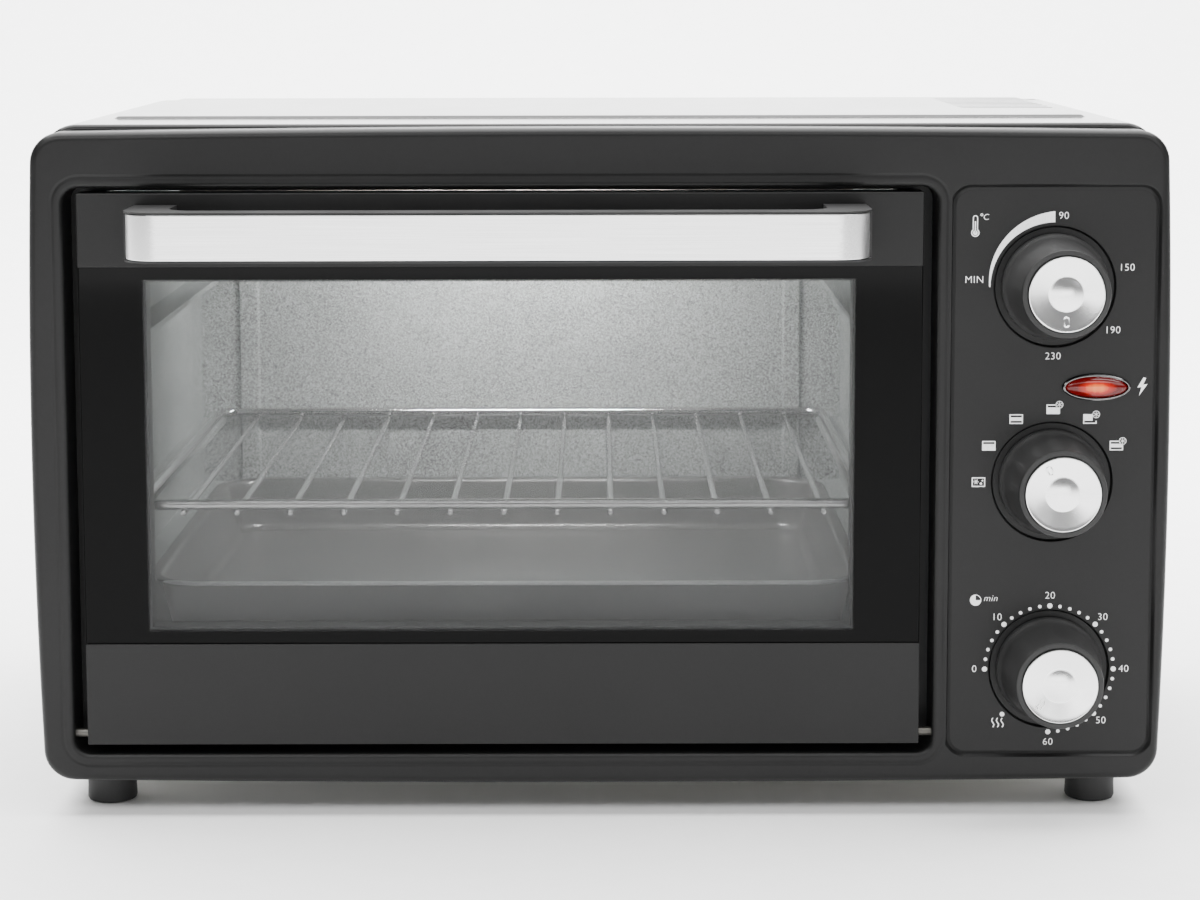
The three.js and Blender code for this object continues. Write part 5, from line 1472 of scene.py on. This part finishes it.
# The front rim is painted lighter and metallic: a painted highlight for the bright line of light along it.
on_rim = enamel.axis("Z").rise(rim_top - 1.4 * MM, rim_top - 0.6 * MM)
at_front = 1 - enamel.axis("Y").rise(tray_low.y + TRAY_RIM * 1.2, tray_low.y + TRAY_RIM * 1.4)
painted_rim_highlight = on_rim * at_front
enamel.surface({
    "Base Color": enamel.ramp(
        specks * 0.4 + bake * 0.3 + painted_rim_highlight * 0.5,
        (0.2, (0.05, 0.049, 0.047)), (0.52, (0.09, 0.088, 0.084)), (0.72, grey(0.6)),
    ),
    "Roughness": 0.3 + bake * 0.12,
    "Metallic": 0.1 + specks * 0.1 + painted_rim_highlight * 0.7,
})
enamel.relief(specks, 0.006 * MM, 0.4)
tray.piece("tray_pan", "tray", enamel, "tray_enamel", ["baking_tray"], sharp=40)

# ---- Studio ----
# A pale sweep under and behind the oven, a dim white room, soft boxes in front, above and behind,
# and a small one in the cavity. The camera faces the front from a little above the oven's middle.

ROOM_GLOW = 0.18
room = bpy.data.worlds.new("white_room")
room.use_nodes = True
background = room.node_tree.nodes["Background"].inputs
background["Color"].default_value = (1, 1, 1, 1)
background["Strength"].default_value = ROOM_GLOW
bpy.context.scene.world = room

SWEEP_HALF, SWEEP_FRONT, SWEEP_BACK, SWEEP_BEND, SWEEP_TOP = 6, -5, 2.5, 1.2, 5
profile = [(SWEEP_FRONT, 0)]
profile += [
    (SWEEP_BACK - SWEEP_BEND + SWEEP_BEND * math.sin(a), SWEEP_BEND - SWEEP_BEND * math.cos(a))
    for a in arc(0, 90, 16)
]
profile.append((SWEEP_BACK, SWEEP_TOP))
backdrop = Form()
pressed(backdrop, (-SWEEP_HALF, SWEEP_HALF), profile, lambda x, step: Vector((x, *step)))
sweep_data = bpy.data.meshes.new("studio_sweep")
backdrop.mesh.to_mesh(sweep_data)
backdrop.mesh.free()
sweep_object = bpy.data.objects.new("studio_sweep", sweep_data)
bpy.context.scene.collection.objects.link(sweep_object)
paper = Finish("white_paper", {"Roughness": 0.9})
fibre = paper.clouds(60, 3)
paper.surface({"Base Color": paper.ramp(fibre, (0.3, grey(0.86)), (0.7, grey(0.88)))})
sweep_data.materials.append(paper.material)

oven_middle = Vector((0, 0, body_mid))


def soft_box(name, spot, aim, width, height, power):
    """A rectangular light at a place, aimed at another, with its power in watts."""
    data = bpy.data.lights.new(name, "AREA")
    data.shape = "RECTANGLE"
    data.size, data.size_y = width, height
    data.energy = power
    lamp = bpy.data.objects.new(name, data)
    lamp.location = spot
    lamp.rotation_euler = (Vector(aim) - Vector(spot)).to_track_quat("-Z", "Y").to_euler()
    lamp.visible_camera = False
    bpy.context.scene.collection.objects.link(lamp)


soft_box("key_box", (-1.3, -1.7, 1.7), oven_middle, 1.4, 0.9, 24)
soft_box("fill_box", (1.5, -1.5, 1.3), oven_middle, 1.1, 1.1, 18)
soft_box("front_box", (0, -2.0, 1.9), oven_middle, 2.4, 0.7, 34)
soft_box("low_box", (0, -2.2, 0.14), oven_middle, 2.0, 0.3, 9)
soft_box("top_box", (0, 0.6, 2.4), (0, 0.6, 0), 3.8, 3.0, 400)
soft_box("back_box", (0, 0.4, 1.6), (0, 2.5, 0.8), 3.6, 0.8, 130)
soft_box("cavity_box", (-0.04, 0.05, 0.25), (-0.04, 0.155, 0.185), 0.12, 0.02, 1.75)

CAMERA_DISTANCE, CAMERA_HEIGHT = 1096 * MM, 338 * MM
PITCH_DOWN, ROLL = 6.5, -0.11
SENSOR_WIDTH, FOCAL_LENGTH, SHIFT = 36, 82.6, -0.125
camera_data = bpy.data.cameras.new("camera")
camera_data.sensor_width = SENSOR_WIDTH
camera_data.lens = FOCAL_LENGTH
camera_data.shift_y = SHIFT
camera = bpy.data.objects.new("camera", camera_data)
eye = Matrix.Translation((0, face - CAMERA_DISTANCE, CAMERA_HEIGHT))
tilt = Matrix.Rotation(math.radians(90 - PITCH_DOWN), 4, "X")
camera.matrix_world = eye @ tilt @ Matrix.Rotation(math.radians(ROLL), 4, "Z")
bpy.context.scene.collection.objects.link(camera)
bpy.context.scene.camera = camera
